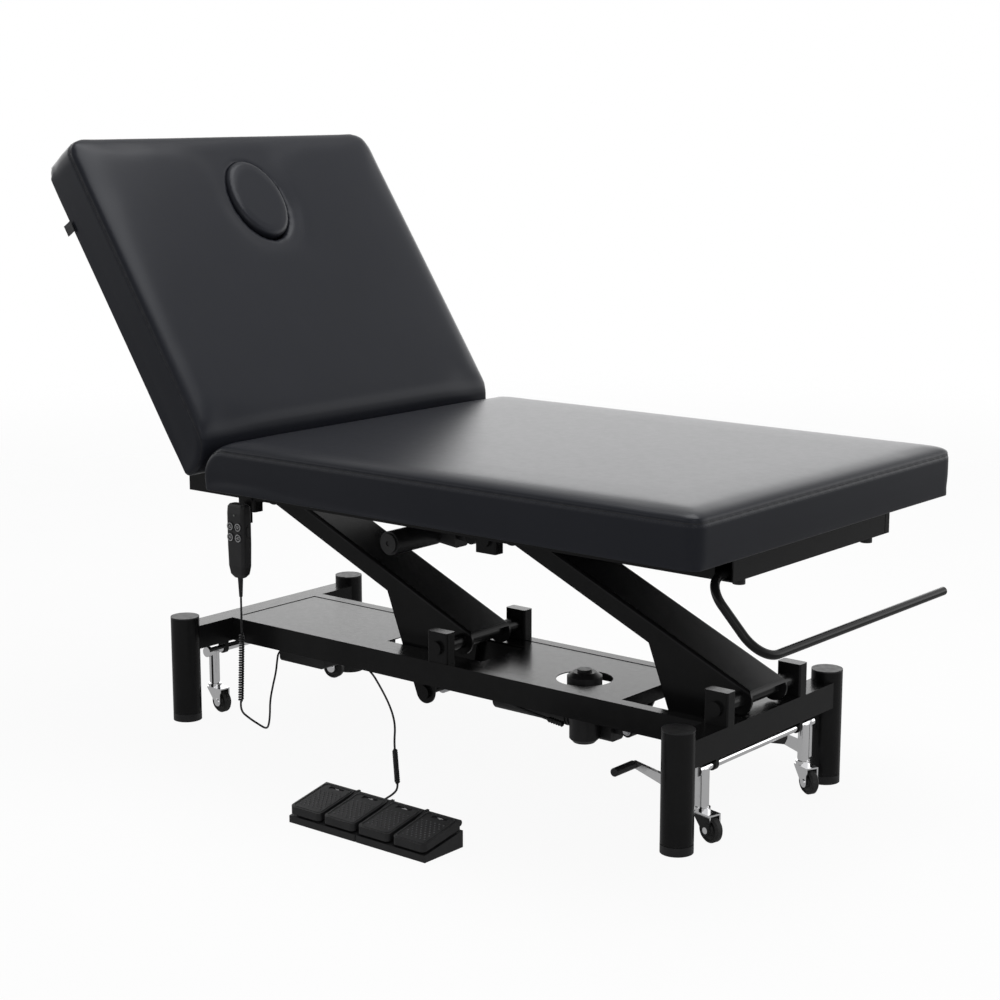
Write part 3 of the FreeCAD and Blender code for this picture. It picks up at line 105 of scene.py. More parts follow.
# Room
ROOM_LIGHT = 0.42
ROOM_SHADE = 0.42
WALL_LIGHT = 2.1
CEILING_SHARE = 0.42
FLOOR_GLOW = 0.93
FLOOR_SHADE = 0.35
FLOOR_R = 6.0
FLOOR_FADE = 3.0
FRONT = (0.63, -0.77, 0.0)
FRONT_SPAN = (-0.3, 0.5)
HORIZON_SPAN = (-0.12, 0.08)
CEILING_SPAN = (0.22, 0.5)

# Cushions
PAD_VOXEL = 7 * MM
PLUG_VOXEL = 4 * MM
PAD_SHRINK = 1.2 * MM
PLUG_SHRINK = -0.8 * MM
ROLL_RUN = 48 * MM
ROLL_DROP = 5 * MM
ROLL_FROM = 0.55
ROLL_BAND = 0.35
PIN_HEIGHT = 8 * MM
REMESH_SMOOTH = 2
PAD_SWELL_CAP = 4.0 * MM
PLUG_SWELL_CAP = 1.5 * MM
PAD_PRESSURE = 4.0
SWELL_ROUNDS = 40
PAD_FRAMES = 20
BACK_ANGLE = math.radians(56.2)
HINGE = Vector((-0.396, 0, 0.556))
HINGE_TO_BACK_END = 11.8 * MM
HINGE_ABOVE_BACK = 2.5 * MM
PAD_HALF_W = 437 * MM
PAD_T = 97 * MM
SEAM_HEIGHT = 80 * MM
SEAM_INSET = 3.0 * MM
SEAM_START = 6 * MM
SEAM_STEPS = 14
SEAM_STEP = 4 * MM
SEAM_DEPTH = 1.4 * MM
SEAM_REACH = 3.5 * MM
DENT_RANGE = 2.5
WELT_R = 0.7 * MM
WELT_SINK = 0.1 * MM
STITCH_DROP = 5 * MM
STITCH_LIFT = 0.1 * MM
STITCH_PITCH = 5.5 * MM
STITCH_SHARE = 0.34
STITCH_HALF_W = 0.45 * MM
STITCH_HALF_T = 0.5 * MM
SEAT_PLAN_R = 27 * MM
BACK_PLAN_R = 47 * MM
SEAT_END_R = 72 * MM
BACK_END_R = 87 * MM
BACK_LEN = 730 * MM
SEAT_X = (-368 * MM, 786 * MM)
FRAME_TOP = 552 * MM


def link(obj):
    scene.collection.objects.link(obj)
    return obj


def mm_points(route):
    return [Vector(p) * MM for p in route]


# Materials

NOISE_SPAN = (0.3, 0.7)


class Look:
    """A node material with a Principled shader and its object coordinates."""

    def __init__(self, name, color, roughness, metallic=0.0, specular=0.5):
        self.material = bpy.data.materials.new(name)
        self.material.use_nodes = True
        self.tree = self.material.node_tree
        self.shader = self.tree.nodes["Principled BSDF"]
        self.shader.inputs["Base Color"].default_value = (*color, 1.0)
        self.shader.inputs["Roughness"].default_value = roughness
        self.shader.inputs["Metallic"].default_value = metallic
        self.shader.inputs["Specular IOR Level"].default_value = specular
        self.coords = self.tree.nodes.new("ShaderNodeTexCoord").outputs["Object"]
        self.normal = None

    def node(self, kind, **inputs):
        made = self.tree.nodes.new(kind)
        for key, value in inputs.items():
            made.inputs[key.replace("_", " ")].default_value = value
        return made

    def wire(self, a, b):
        self.tree.links.new(a, b)

    def noise(self, scale, detail=3.0, rough=0.55):
        made = self.node("ShaderNodeTexNoise", Scale=scale, Detail=detail, Roughness=rough)
        self.wire(self.coords, made.inputs["Vector"])
        return made.outputs["Fac"]

    def cells(self, scale):
        made = self.node("ShaderNodeTexVoronoi", Scale=scale)
        made.feature = "DISTANCE_TO_EDGE"
        self.wire(self.coords, made.inputs["Vector"])
        return made.outputs["Distance"]

    def bump(self, height, strength, distance):
        made = self.node("ShaderNodeBump", Strength=strength, Distance=distance)
        self.wire(height, made.inputs["Height"])
        if self.normal is not None:
            self.wire(self.normal, made.inputs["Normal"])
        self.normal = made.outputs["Normal"]
        self.wire(self.normal, self.shader.inputs["Normal"])

    def ramp(self, value, low, high):
        """Spread a 0..1 value between two numbers."""
        made = self.node("ShaderNodeMapRange")
        made.inputs["From Min"].default_value, made.inputs["From Max"].default_value = NOISE_SPAN
        made.inputs["To Min"].default_value = low
        made.inputs["To Max"].default_value = high
        self.wire(value, made.inputs["Value"])
        return made.outputs["Result"]

    def vary_roughness(self, value, low, high):
        self.wire(self.ramp(value, low, high), self.shader.inputs["Roughness"])

    def vary_color(self, value, dark, light):
        made = self.tree.nodes.new("ShaderNodeMix")
        made.data_type = "RGBA"
        made.inputs[6].default_value = (*dark, 1.0)
        made.inputs[7].default_value = (*light, 1.0)
        self.wire(self.ramp(value, 0.0, 1.0), made.inputs["Factor"])
        self.wire(made.outputs[2], self.shader.inputs["Base Color"])


def vinyl_look(name, dark, light):
    look = Look(name, dark, roughness=0.30, specular=0.17)
    look.shader.inputs["Specular Tint"].default_value = (0.94, 0.96, 1.0, 1.0)
    look.vary_color(look.noise(scale=3.5), dark, light)
    look.vary_roughness(look.noise(scale=70.0), low=0.29, high=0.31)
    look.bump(look.cells(scale=620.0), strength=0.06, distance=0.15 * MM)
    look.bump(look.noise(scale=900.0, detail=2.0), strength=0.05, distance=0.1 * MM)
    return look.material


def powder_look(name, color, light):
    look = Look(name, color, roughness=0.23, specular=0.16)
    look.vary_color(look.noise(scale=30.0), color, light)
    look.vary_roughness(look.noise(scale=90.0), low=0.21, high=0.25)
    look.bump(look.noise(scale=1100.0, detail=2.0), strength=0.05, distance=0.1 * MM)
    return look.material


def plastic_look(name, color, light, roughness):
    look = Look(name, color, roughness=roughness, specular=0.3)
    look.vary_color(look.noise(scale=40.0), color, light)
    look.vary_roughness(look.noise(scale=90.0), low=roughness - 0.05, high=roughness + 0.06)
    look.bump(look.cells(scale=1400.0), strength=0.10, distance=0.12 * MM)
    return look.material


def metal_look(name, color, roughness, streaks):
    look = Look(name, color, roughness=roughness, metallic=1.0)
    look.vary_roughness(look.noise(scale=streaks), low=roughness * 0.7, high=roughness * 1.4)
    look.bump(look.noise(scale=streaks * 3), strength=0.03, distance=0.1 * MM)
    return look.material


def rubber_look(name, color, light):
    look = Look(name, color, roughness=0.6, specular=0.4)
    look.vary_color(look.noise(scale=80.0), color, light)
    look.vary_roughness(look.noise(scale=200.0), low=0.5, high=0.68)
    look.bump(look.noise(scale=1500.0), strength=0.1, distance=0.1 * MM)
    return look.material


VINYL = vinyl_look("charcoal_vinyl", (0.0124, 0.0134, 0.0176), (0.0148, 0.0158, 0.0204))
THREAD = rubber_look("seam_thread", (0.008, 0.008, 0.010), (0.012, 0.012, 0.014))
LOOKS = {
    "powder_coat": powder_look("black_powder_coat", (0.0080, 0.0080, 0.0083), (0.0100, 0.0100, 0.0104)),
    "black_plastic": plastic_look("black_moulded_plastic", (0.012, 0.012, 0.013), (0.017, 0.017, 0.018),
                                  roughness=0.42),
    "button": plastic_look("button_plastic", (0.03, 0.03, 0.032), (0.04, 0.04, 0.042), roughness=0.5),
    "chrome": metal_look("bright_chrome", (0.93, 0.93, 0.94), roughness=0.10, streaks=120.0),
    "steel": metal_look("ground_steel", (0.55, 0.55, 0.57), roughness=0.25, streaks=300.0),
    "castor_tyre": rubber_look("castor_tyre", (0.010, 0.010, 0.010), (0.016, 0.016, 0.016)),
    "cord": rubber_look("cord_sheath", (0.008, 0.008, 0.009), (0.012, 0.012, 0.013)),
    "upholstery": VINYL,
}


def paint(obj, material):
    if not obj.material_slots:
        obj.data.materials.append(material)
    for place in obj.material_slots:
        place.link = "OBJECT"
        place.material = material


for entry in frame["record"]["subparts"]:
    paint(nodes[entry["node"]], LOOKS[entry["material_slot"]])


# Meshes

def mesh_object(name, verts, faces, material, smooth=True):
    mesh = bpy.data.meshes.new(name)
    mesh.from_pydata([tuple(v) for v in verts], [], faces)
    mesh.update()
    obj = link(bpy.data.objects.new(name, mesh))
    mesh.materials.append(material)
    mesh.polygons.foreach_set("use_smooth", [smooth] * len(mesh.polygons))
    return obj


def spline_points(points, steps=8):
    """Points along the smooth line of a route."""
    curve = bpy.data.curves.new("route", "CURVE")
    curve.dimensions = "3D"
    curve.resolution_u = steps
    spline = curve.splines.new("NURBS")
    spline.points.add(len(points) - 1)
    for place, point in zip(spline.points, points):
        place.co = (*point, 1.0)
    spline.order_u = 3
    spline.use_endpoint_u = True
    holder = link(bpy.data.objects.new("route", curve))
    bpy.context.view_layer.update()
    mesh = bpy.data.meshes.new_from_object(holder.evaluated_get(bpy.context.evaluated_depsgraph_get()))
    line = [v.co.copy() for v in mesh.vertices]
    bpy.data.objects.remove(holder)
    bpy.data.curves.remove(curve)
    bpy.data.meshes.remove(mesh)
    return line


def helix(a, b, turns, radius):
    """A curl from a to b that grows out of its axis and goes back into it."""
    axis = (b - a).normalized()
    side = axis.orthogonal().normalized()
    other = axis.cross(side)
    steps = turns * POINTS_PER_TURN
    points = []
    for step in range(steps + 1):
        share = step / steps
        grow = min(1.0, step / POINTS_PER_TURN, (steps - step) / POINTS_PER_TURN)
        angle = 2 * math.pi * step / POINTS_PER_TURN
        out = side * math.cos(angle) + other * math.sin(angle)
        points.append(a.lerp(b, share) + out * (radius * grow))
    return points


def ring_faces(rings, sides):
    """Faces between rings of points, and a cap on each end."""
    faces = []
    for i in range(rings - 1):
        for k in range(sides):
            a = i * sides + k
            b = i * sides + (k + 1) % sides
            faces.append((a, b, b + sides, a + sides))
    faces.append(tuple(reversed(range(sides))))
    faces.append(tuple(range((rings - 1) * sides, rings * sides)))
    return faces


def tube_parts(line, radius, sides):
    """A closed round tube along points, turned with the line so that it doesn't twist."""
    verts = []
    tangent = (line[1] - line[0]).normalized()
    side = tangent.orthogonal().normalized()
    for i, point in enumerate(line):
        ahead = line[min(i + 1, len(line) - 1)] - line[max(i - 1, 0)]
        tangent = ahead.normalized()
        side = (side - tangent * side.dot(tangent)).normalized()
        up = tangent.cross(side)
        for k in range(sides):
            angle = 2 * math.pi * k / sides
            verts.append(point + side * (radius * math.cos(angle)) + up * (radius * math.sin(angle)))
    return verts, ring_faces(len(line), sides)


def joined(name, parts, material, smooth=True):
    """One mesh of several lists of points and faces."""
    verts, faces = [], []
    for points, sides in parts:
        first = len(verts)
        verts += points
        faces += [tuple(first + i for i in face) for face in sides]
    return mesh_object(name, verts, faces, material, smooth)


def tube(name, line, radius, material, sides=10):
    return joined(name, [tube_parts(line, radius, sides)], material)


def lathe_parts(rows, start, axis, sides=24):
    """A turned form: rows of distance along the axis and radius."""
    side = axis.orthogonal().normalized()
    other = axis.cross(side)
    verts = []
    for along, radius in rows:
        for k in range(sides):
            angle = 2 * math.pi * k / sides
            out = side * (radius * math.cos(angle)) + other * (radius * math.sin(angle))
            verts.append(start + axis * along + out)
    return verts, ring_faces(len(rows), sides)


def plate_parts(outline, thick):
    """A flat plate: an outline moved by a thickness."""
    count = len(outline)
    verts = [Vector(p) for p in outline] + [Vector(p) + thick for p in outline]
    faces = [tuple(reversed(range(count))), tuple(range(count, 2 * count))]
    for i in range(count):
        k = (i + 1) % count
        faces.append((i, k, k + count, i + count))
    return verts, faces


def line_length(line):
    return sum((b - a).length for a, b in zip(line, line[1:]))


# Camera

def place_camera():
    data = bpy.data.cameras.new("camera")
    data.lens = CAMERA_LENS
    data.sensor_width = CAMERA_SENSOR
    data.shift_x, data.shift_y = CAMERA_SHIFT
    data.dof.use_dof = False
    back = Vector((math.sin(CAMERA_AZIMUTH) * math.cos(CAMERA_ELEVATION),
                   -math.cos(CAMERA_AZIMUTH) * math.cos(CAMERA_ELEVATION),
                   math.sin(CAMERA_ELEVATION)))
    obj = link(bpy.data.objects.new("camera", data))
    obj.location = CAMERA_TARGET + back * CAMERA_DISTANCE
    obj.rotation_euler = back.to_track_quat("Z", "Y").to_euler()
    scene.camera = obj


place_camera()


# Cords

def handset_cord():
    """The handset cord in four pieces: plug lead, upper lead, curl and lower lead; only the lower lead is
    attached, to the base.
    """
    top = spline_points(mm_points(HANDSET_TOP_ROUTE))
    low = spline_points(mm_points(HANDSET_ROUTE))
    curl = helix(top[-1], low[0], HANDSET_CURLS, (CURL_D - CORD_D) / 2)
    plug_end = next(i for i in range(2, len(top)) if line_length(top[:i + 1]) > HANDSET_PLUG_LEAD)
    plug, lead = top[:plug_end + 1], top[plug_end:]
    pieces = {}
    for name, line, node in (("plug", plug, "handset_cord_leads"), ("upper", lead, "handset_cord_leads"),
                             ("coil", curl, "handset_cord_curl"), ("lower", low, "handset_cord_leads")):
        piece = tube("handset_cord_" + name, line, CORD_D / 2, LOOKS["cord"])
        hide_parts(node)
        pieces[name] = piece
    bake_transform(pieces["plug"])
    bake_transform(pieces["upper"])
    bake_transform(pieces["coil"])
    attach(pieces["lower"], "base")


def foot_cord():
    top = spline_points(mm_points(FOOT_TOP_ROUTE))
    low = spline_points(mm_points(FOOT_LOW_ROUTE))
    curl = helix(top[-1], low[0], FOOT_CURLS, (FOOT_CURL_D - CORD_D) / 2)
    line = top[:-1] + curl + low[1:]
    cord = tube("foot_cord", line, CORD_D / 2, LOOKS["cord"])
    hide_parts("foot_cord_leads", "foot_cord_curl")
    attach(cord, "base")


def motor_cable():
    line = spline_points(mm_points(MOTOR_ROUTE))
    cable = tube("motor_cable", line, MOTOR_CORD_D / 2, LOOKS["cord"])
    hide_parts("lift_motor_cable")
    way = (line[-1] - line[-2]).normalized()
    steps = RELIEF_RIBS * RELIEF_RIB_STEPS
    rows = []
    for step in range(steps + 1):
        groove = RELIEF_RIB_DEPTH if step % RELIEF_RIB_STEPS < RELIEF_RIB_STEPS // 2 else 0
        rows.append((RELIEF_LEN * step / steps - RELIEF_IN, RELIEF_R - groove))
    relief = joined("motor_cable_relief", [lathe_parts(rows, line[-1], way, sides=16)], LOOKS["cord"])
    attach(relief, "lift_actuator")
    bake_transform(cable)


handset_cord()
foot_cord()
motor_cable()


# Cushions

def back_matrix():
    """The back pad's own frame: X up the pad from its hinge end, Z out of its face."""
    along = Vector((-math.cos(BACK_ANGLE), 0, math.sin(BACK_ANGLE)))
    out = Vector((math.sin(BACK_ANGLE), 0, math.cos(BACK_ANGLE)))
    foot = HINGE + along * HINGE_TO_BACK_END - out * HINGE_ABOVE_BACK
    return Matrix(((along.x, 0, out.x, foot.x),
                   (0, -1, 0, 0),
                   (along.z, 0, out.z, foot.z),
                   (0, 0, 0, 1)))


def seat_matrix():
    """The seat pad's own frame: X from the hinge end, Z up from the couch frame."""
    return Matrix.Translation((SEAT_X[0], 0, FRAME_TOP))


def evaluated_copy(obj):
    bpy.context.view_layer.update()
    return bpy.data.meshes.new_from_object(obj.evaluated_get(bpy.context.evaluated_depsgraph_get()))


def get_points(mesh):
    points = np.empty(len(mesh.vertices) * 3)
    mesh.vertices.foreach_get("co", points)
    return points.reshape(-1, 3)


def get_normals(mesh):
    normals = np.empty(len(mesh.vertices) * 3)
    mesh.vertices.foreach_get("normal", normals)
    return normals.reshape(-1, 3)


def set_points(mesh, points):
    mesh.vertices.foreach_set("co", np.ascontiguousarray(points).ravel())
    mesh.update()


def smooth_points(obj, rounds):
    mod = obj.modifiers.new("smooth", "SMOOTH")
    mod.factor = 0.5
    mod.iterations = rounds
    mesh = evaluated_copy(obj)
    obj.modifiers.remove(mod)
    obj.data = mesh


def stuffed(name, node, voxel, local, shrink, cap):
    """A foam pad in a tight cover: the CAD form remeshed in its own frame and blown up a little as cloth."""
    obj = link(bpy.data.objects.new(name, nodes[node].data.copy()))
    obj.data.transform(local.inverted())
    mod = obj.modifiers.new("remesh", "REMESH")
    mod.mode = "VOXEL"
    mod.voxel_size = voxel
    mesh = evaluated_copy(obj)
    obj.modifiers.remove(mod)
    mesh.transform(local)
    obj.data = mesh
    smooth_points(obj, REMESH_SMOOTH)
    mesh = obj.data
    rest = get_points(mesh)
    start = rest - get_normals(mesh) * shrink
    set_points(mesh, start)
    inflate(obj, local, start, cap)
    obj.data.materials.clear()
    obj.data.materials.append(VINYL)
    obj.data.polygons.foreach_set("use_smooth", [True] * len(obj.data.polygons))
    return obj


def roll_edges(obj, local, length):
    """Let the top of a pad fall away towards its seam, as foam does under a tight cover."""
    frame_in = np.array(local.inverted())
    points = get_points(obj.data)
    x, y, z = (points @ frame_in[:3, :3].T + frame_in[:3, 3]).T
    gap = np.minimum(PAD_HALF_W - np.abs(y), length - x)
    share = np.clip(1 - gap / ROLL_RUN, 0, 1) ** 2
    share *= np.clip((z / PAD_T - ROLL_FROM) / ROLL_BAND, 0, 1)
    up = np.array(local.to_3x3().col[2])
    set_points(obj.data, points - up * (ROLL_DROP * share)[:, None])


def even_out(mesh, moves):
    """Spread the swelling over neighbours, so that the tight cover keeps no small wrinkles."""
    ends = np.empty(len(mesh.edges) * 2, dtype=np.int64)
    mesh.edges.foreach_get("vertices", ends)
    a, b = ends.reshape(-1, 2).T
    here, there = np.concatenate((a, b)), np.concatenate((b, a))
    count = np.bincount(here, minlength=len(moves))[:, None]
    for _ in range(SWELL_ROUNDS):
        total = [np.bincount(here, moves[there, k], minlength=len(moves)) for k in range(3)]
        moves = (moves + np.stack(total, axis=1) / count) / 2
    return moves


def inflate(obj, local, start, cap):
    """Blow the cover up as cloth held at its base, and keep the swelling even and below a cap."""
    back = local.inverted()
    held = [v.index for v in obj.data.vertices if (back @ v.co).z < PIN_HEIGHT]
    pins = obj.vertex_groups.new(name="pins")
    pins.add(held, 1.0, "REPLACE")
    mod = obj.modifiers.new("cloth", "CLOTH")
    settings = mod.settings
    settings.quality = 4
    settings.mass = 0.3
    settings.tension_stiffness = 15
    settings.compression_stiffness = 15
    settings.bending_stiffness = 2
    settings.use_pressure = True
    settings.uniform_pressure_force = PAD_PRESSURE
    settings.effector_weights.gravity = 0
    settings.vertex_group_mass = "pins"
    mod.collision_settings.use_collision = False
    mod.point_cache.frame_start = 1
    mod.point_cache.frame_end = PAD_FRAMES
    for step in range(1, PAD_FRAMES + 1):
        scene.frame_set(step)
    mesh = evaluated_copy(obj)
    moved = even_out(obj.data, get_points(mesh) - start)
    far = np.linalg.norm(moved, axis=1)
    moved *= np.minimum(1.0, cap / np.maximum(far, 1e-9))[:, None]
    obj.modifiers.remove(mod)
    obj.vertex_groups.clear()
    scene.frame_set(1)
    set_points(obj.data, start + moved)


def seam_line(length, end_r, plan_r):
    """The seam in a pad's own frame: up the hinge end's round, along the side and round the far end."""
    half = PAD_HALF_W - SEAM_INSET
    centre = PAD_T - end_r
    top_turn = math.asin((SEAM_HEIGHT - centre) / end_r)
    side = [(0.0, -half, SEAM_START)]
    for step in range(SEAM_STEPS + 1):
        turn = top_turn * step / SEAM_STEPS
        side.append((end_r - end_r * math.cos(turn), -half, centre + end_r * math.sin(turn)))
    corner = []
    for step in range(SEAM_STEPS + 1):
        turn = math.pi / 2 * step / SEAM_STEPS
        corner.append((length - SEAM_INSET - plan_r + plan_r * math.sin(turn),
                       -half + plan_r - plan_r * math.cos(turn), SEAM_HEIGHT))
    near = side + corner
    return near + [(x, -y, z) for x, y, z in reversed(near)]


def dense(points, step):
    line = [Vector(points[0])]
    for a, b in zip(points, points[1:]):
        a, b = Vector(a), Vector(b)
        count = max(1, round((b - a).length / step))
        line += [a.lerp(b, (i + 1) / count) for i in range(count)]
    return line


def on_surface(tree, points, lift):
    found = []
    for point in points:
        place, normal, _, _ = tree.find_nearest(point)
        found.append((place + normal * lift, normal))
    return found


def dent(obj, line, depth, reach):
    """Draw the cover in along a sewn line."""
    mesh = obj.data
    tree = KDTree(len(mesh.vertices))
    for v in mesh.vertices:
        tree.insert(v.co, v.index)
    tree.balance()
    nearest = {}
    for point in line:
        for _, index, far in tree.find_range(point, reach * DENT_RANGE):
            nearest[index] = min(far, nearest.get(index, far))
    points = get_points(mesh)
    normals = get_normals(mesh)
    for index, far in nearest.items():
        points[index] -= normals[index] * (depth * math.exp(-(far / reach) ** 2))
    set_points(mesh, points)


def stitches(name, places, pitch, body):
    """A row of short threads on the cover, one mesh."""
    verts, faces = [], []
    run, last = 0.0, places[0][0]
    half, wide = pitch * STITCH_SHARE, STITCH_HALF_W
    for i in range(1, len(places) - 1):
        point, normal = places[i]
        run += (point - last).length
        last = point
        if run < pitch:
            continue
        run = 0.0
        way = (places[i + 1][0] - places[i - 1][0]).normalized()
        side = way.cross(normal).normalized() * wide
        base = len(verts)
        verts += [point - way * half, point + side, point + way * half, point - side,
                  point + normal * STITCH_HALF_T, point - normal * STITCH_HALF_T]
        faces += [(base + a, base + b, base + c) for a, b, c in
                  ((0, 1, 4), (1, 2, 4), (2, 3, 4), (3, 0, 4), (1, 0, 5), (2, 1, 5), (3, 2, 5), (0, 3, 5))]
    obj = mesh_object(name, verts, faces, THREAD)
    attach(obj, body)


def surface_tree(obj):
    return BVHTree.FromObject(obj, bpy.context.evaluated_depsgraph_get())


def sew(name, obj, local, points, body):
    """Draw in a seam and lay its welt in it."""
    line = [local @ p for p in dense(points, SEAM_STEP)]
    bpy.context.view_layer.update()
    places = on_surface(surface_tree(obj), line, 0.0)
    dent(obj, [p for p, _ in places], SEAM_DEPTH, SEAM_REACH)
    bpy.context.view_layer.update()
    tree = surface_tree(obj)
    places = on_surface(tree, [p for p, _ in places], -WELT_SINK)
    welt = tube(name + "_seam", [p for p, _ in places], WELT_R, THREAD, sides=6)
    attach(welt, body)
    return tree, places


def pad(name, node, body, local, length, end_r, plan_r):
    obj = stuffed(name, node, PAD_VOXEL, local, PAD_SHRINK, PAD_SWELL_CAP)
    roll_edges(obj, local, length)
    mod = obj.modifiers.new("fine", "SUBSURF")
    mod.levels = mod.render_levels = 1
    obj.data = evaluated_copy(obj)
    obj.modifiers.remove(mod)
    tree, places = sew(name, obj, local, seam_line(length, end_r, plan_r), body)
    down = (local.to_3x3() @ Vector((0, 0, -1))).normalized()
    row = on_surface(tree, [p + down * STITCH_DROP for p, _ in places], STITCH_LIFT)
    stitches(name + "_stitch", row, STITCH_PITCH, body)
    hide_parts(node)
    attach(obj, body)


pad("seat_pad", "seat_cushion", "top_frame", seat_matrix(), SEAT_X[1] - SEAT_X[0], SEAT_END_R, SEAT_PLAN_R)
pad("back_pad", "backrest_cushion", "backrest", back_matrix(), BACK_LEN, BACK_END_R, BACK_PLAN_R)

plug = stuffed("face_plug_pad", "face_plug", PLUG_VOXEL, back_matrix(), PLUG_SHRINK, PLUG_SWELL_CAP)
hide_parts("face_plug")
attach(plug, "face_plug")


# Small pieces

PRINT = plastic_look("pale_print", (0.66, 0.66, 0.67), (0.74, 0.74, 0.75), roughness=0.5)
DOTS = plastic_look("tread_dots", (0.075, 0.075, 0.078), (0.10, 0.10, 0.105), roughness=0.4)
LAMP = plastic_look("lamp_lens", (0.10, 0.11, 0.10), (0.13, 0.14, 0.13), roughness=0.3)
WEAVE = rubber_look("tag_weave", (0.020, 0.020, 0.022), (0.034, 0.034, 0.036))
SIGNS = {
    "up": (((-0.62, -0.25), (0.62, -0.25)), ((-0.28, 0.10), (0.0, 0.42), (0.28, 0.10))),
    "down": (((-0.62, 0.25), (0.62, 0.25)), ((-0.28, -0.10), (0.0, -0.42), (0.28, -0.10))),
    "back_up": (((-0.6, 0.38), (-0.05, -0.2), (0.6, -0.2)), ((-0.1, 0.42), (0.15, 0.42), (0.15, 0.15))),
    "back_down": (((-0.6, 0.05), (-0.05, -0.2), (0.6, -0.2)), ((-0.1, 0.42), (0.15, 0.15), (0.4, 0.42))),
}
BUTTON_SIGNS = ("up", "down", "back_up", "back_down")
PEDAL_SIGNS = ("back_up", "back_down", "up", "down")


def put(obj, body):
    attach(obj, body)


def circle(centre, across, up, radius, steps=28):
    points = []
    for step in range(steps + 1):
        angle = 2 * math.pi * step / steps
        points.append(centre + across * (radius * math.cos(angle)) + up * (radius * math.sin(angle)))
    return points


def strokes(sign, centre, across, up, size):
    return [[centre + across * (u * size) + up * (v * size) for u, v in line] for line in SIGNS[sign]]


def corners_of(node):
    return [Vector(c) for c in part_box(node)]


def handset_face():
    """Prints on the four buttons, the lamp above them and a grip along each side."""
    across, up = Vector((1, 0, 0)), Vector((0, 0, 1))
    ring_r, line_r, sign_size, sink = 7.0 * MM, 0.55 * MM, 6.0 * MM, 0.1 * MM
    for number, sign in enumerate(BUTTON_SIGNS, 1):
        node = "handset_button_%d" % number
        low, high = corners_of(node)
        centre = (low + high) / 2
        centre.y = low.y + sink
        lines = [circle(centre, across, up, ring_r)] + strokes(sign, centre, across, up, sign_size)
        prints = [tube_parts(line, line_r, sides=6) for line in lines]
        put(joined(node + "_print", prints, PRINT), node)

    low, high = corners_of("handset_shell")
    tree = surface_tree(nodes["handset_shell"])
    clear, lamp_drop = 0.1, 22 * MM
    mid_x = (low.x + high.x) / 2
    start = Vector((mid_x, low.y - clear, high.z - lamp_drop))
    spot, normal, _, _ = tree.ray_cast(start, Vector((0, 1, 0)))
    rows = ((-1.0 * MM, 2.4 * MM), (0.4 * MM, 2.4 * MM), (0.9 * MM, 1.8 * MM), (1.2 * MM, 0.7 * MM))
    put(joined("handset_lamp", [lathe_parts(rows, spot, normal, sides=16)], LAMP), "handset")

    grip_drops, grip_depth = (44 * MM, 66 * MM), 13 * MM
    half_rows = ((0, 0.6 * MM), (0.6 * MM, 2.0 * MM), (2 * MM, 2.6 * MM))
    grips = []
    for side in (-1, 1):
        ends = []
        for drop in grip_drops:
            start = Vector((mid_x + side * clear, low.y + grip_depth, high.z - drop))
            ends.append(tree.ray_cast(start, Vector((-side, 0, 0)))[0])
        way = (ends[1] - ends[0]).normalized()
        length = (ends[1] - ends[0]).length
        rows = list(half_rows) + [(length - along, radius) for along, radius in reversed(half_rows)]
        grips.append(lathe_parts(rows, ends[0], way, sides=12))
    put(joined("handset_side_grips", grips, LOOKS["black_plastic"]), "handset")


def dome_parts(spot, normal, radius, height):
    rows = ((-0.3 * MM, radius), (height * 0.45, radius * 0.85), (height, radius * 0.35))
    return lathe_parts(rows, spot, normal, sides=8)


def pedal_face(number, sign):
    """Tread dots, a raised rim and a print on one pedal, laid on its sloping top."""
    node = "foot_pedal_%d" % number
    low, high = corners_of(node)
    tree = surface_tree(nodes[node])
    wide, deep = high.x - low.x, high.y - low.y
    clear = 0.05

    def top(u, v):
        start = Vector((low.x + wide * u, low.y + deep * v, high.z + clear))
        return tree.ray_cast(start, Vector((0, 0, -1)))[:2]

    rows, columns, dot_r, dot_h = 9, 6, 1.7 * MM, 1.1 * MM
    dots_u, dots_wide, dots_v, dots_deep = 0.17, 0.66, 0.16, 0.50
    dots = []
    for row in range(rows):
        for column in range(columns - row % 2):
            u = dots_u + dots_wide * (column + 0.5 * (row % 2)) / (columns - 1)
            spot, normal = top(u, dots_v + dots_deep * row / (rows - 1))
            dots.append(dome_parts(spot, normal, dot_r, dot_h))
    put(joined(node + "_dots", dots, DOTS), node)

    inset, far_v, corner_r, rim_step, rim_r = 4.5 * MM, 0.90, 7 * MM, 3 * MM, 0.9 * MM
    corner_steps = 6
    inset_u, inset_v = inset / wide, inset / deep
    edge = []
    for right, far, turn in ((1, 1, 0), (0, 1, 90), (0, 0, 180), (1, 0, 270)):
        u = (1 - inset_u - corner_r / wide) if right else inset_u + corner_r / wide
        v = (far_v - corner_r / deep) if far else inset_v + corner_r / deep
        for step in range(corner_steps + 1):
            angle = math.radians(turn + 90 // corner_steps * step)
            spot, _ = top(u + math.cos(angle) * corner_r / wide, v + math.sin(angle) * corner_r / deep)
            edge.append(spot)
    rim = tube(node + "_rim", dense(edge + [edge[0]], rim_step), rim_r, LOOKS["black_plastic"], sides=8)
    put(rim, node)

    sign_u, sign_v, sign_lift, sign_size, sign_stretch, line_r = 0.5, 0.845, 0.2 * MM, 5.0 * MM, 1.9, 0.6 * MM
    spot, _ = top(sign_u, sign_v)
    centre = spot + Vector((0, 0, sign_lift))
    lines = strokes(sign, centre, Vector((sign_stretch, 0, 0)), Vector((0, 1, 0)), sign_size)
    prints = [tube_parts(line, line_r, sides=6) for line in lines]
    put(joined(node + "_print", prints, PRINT), node)


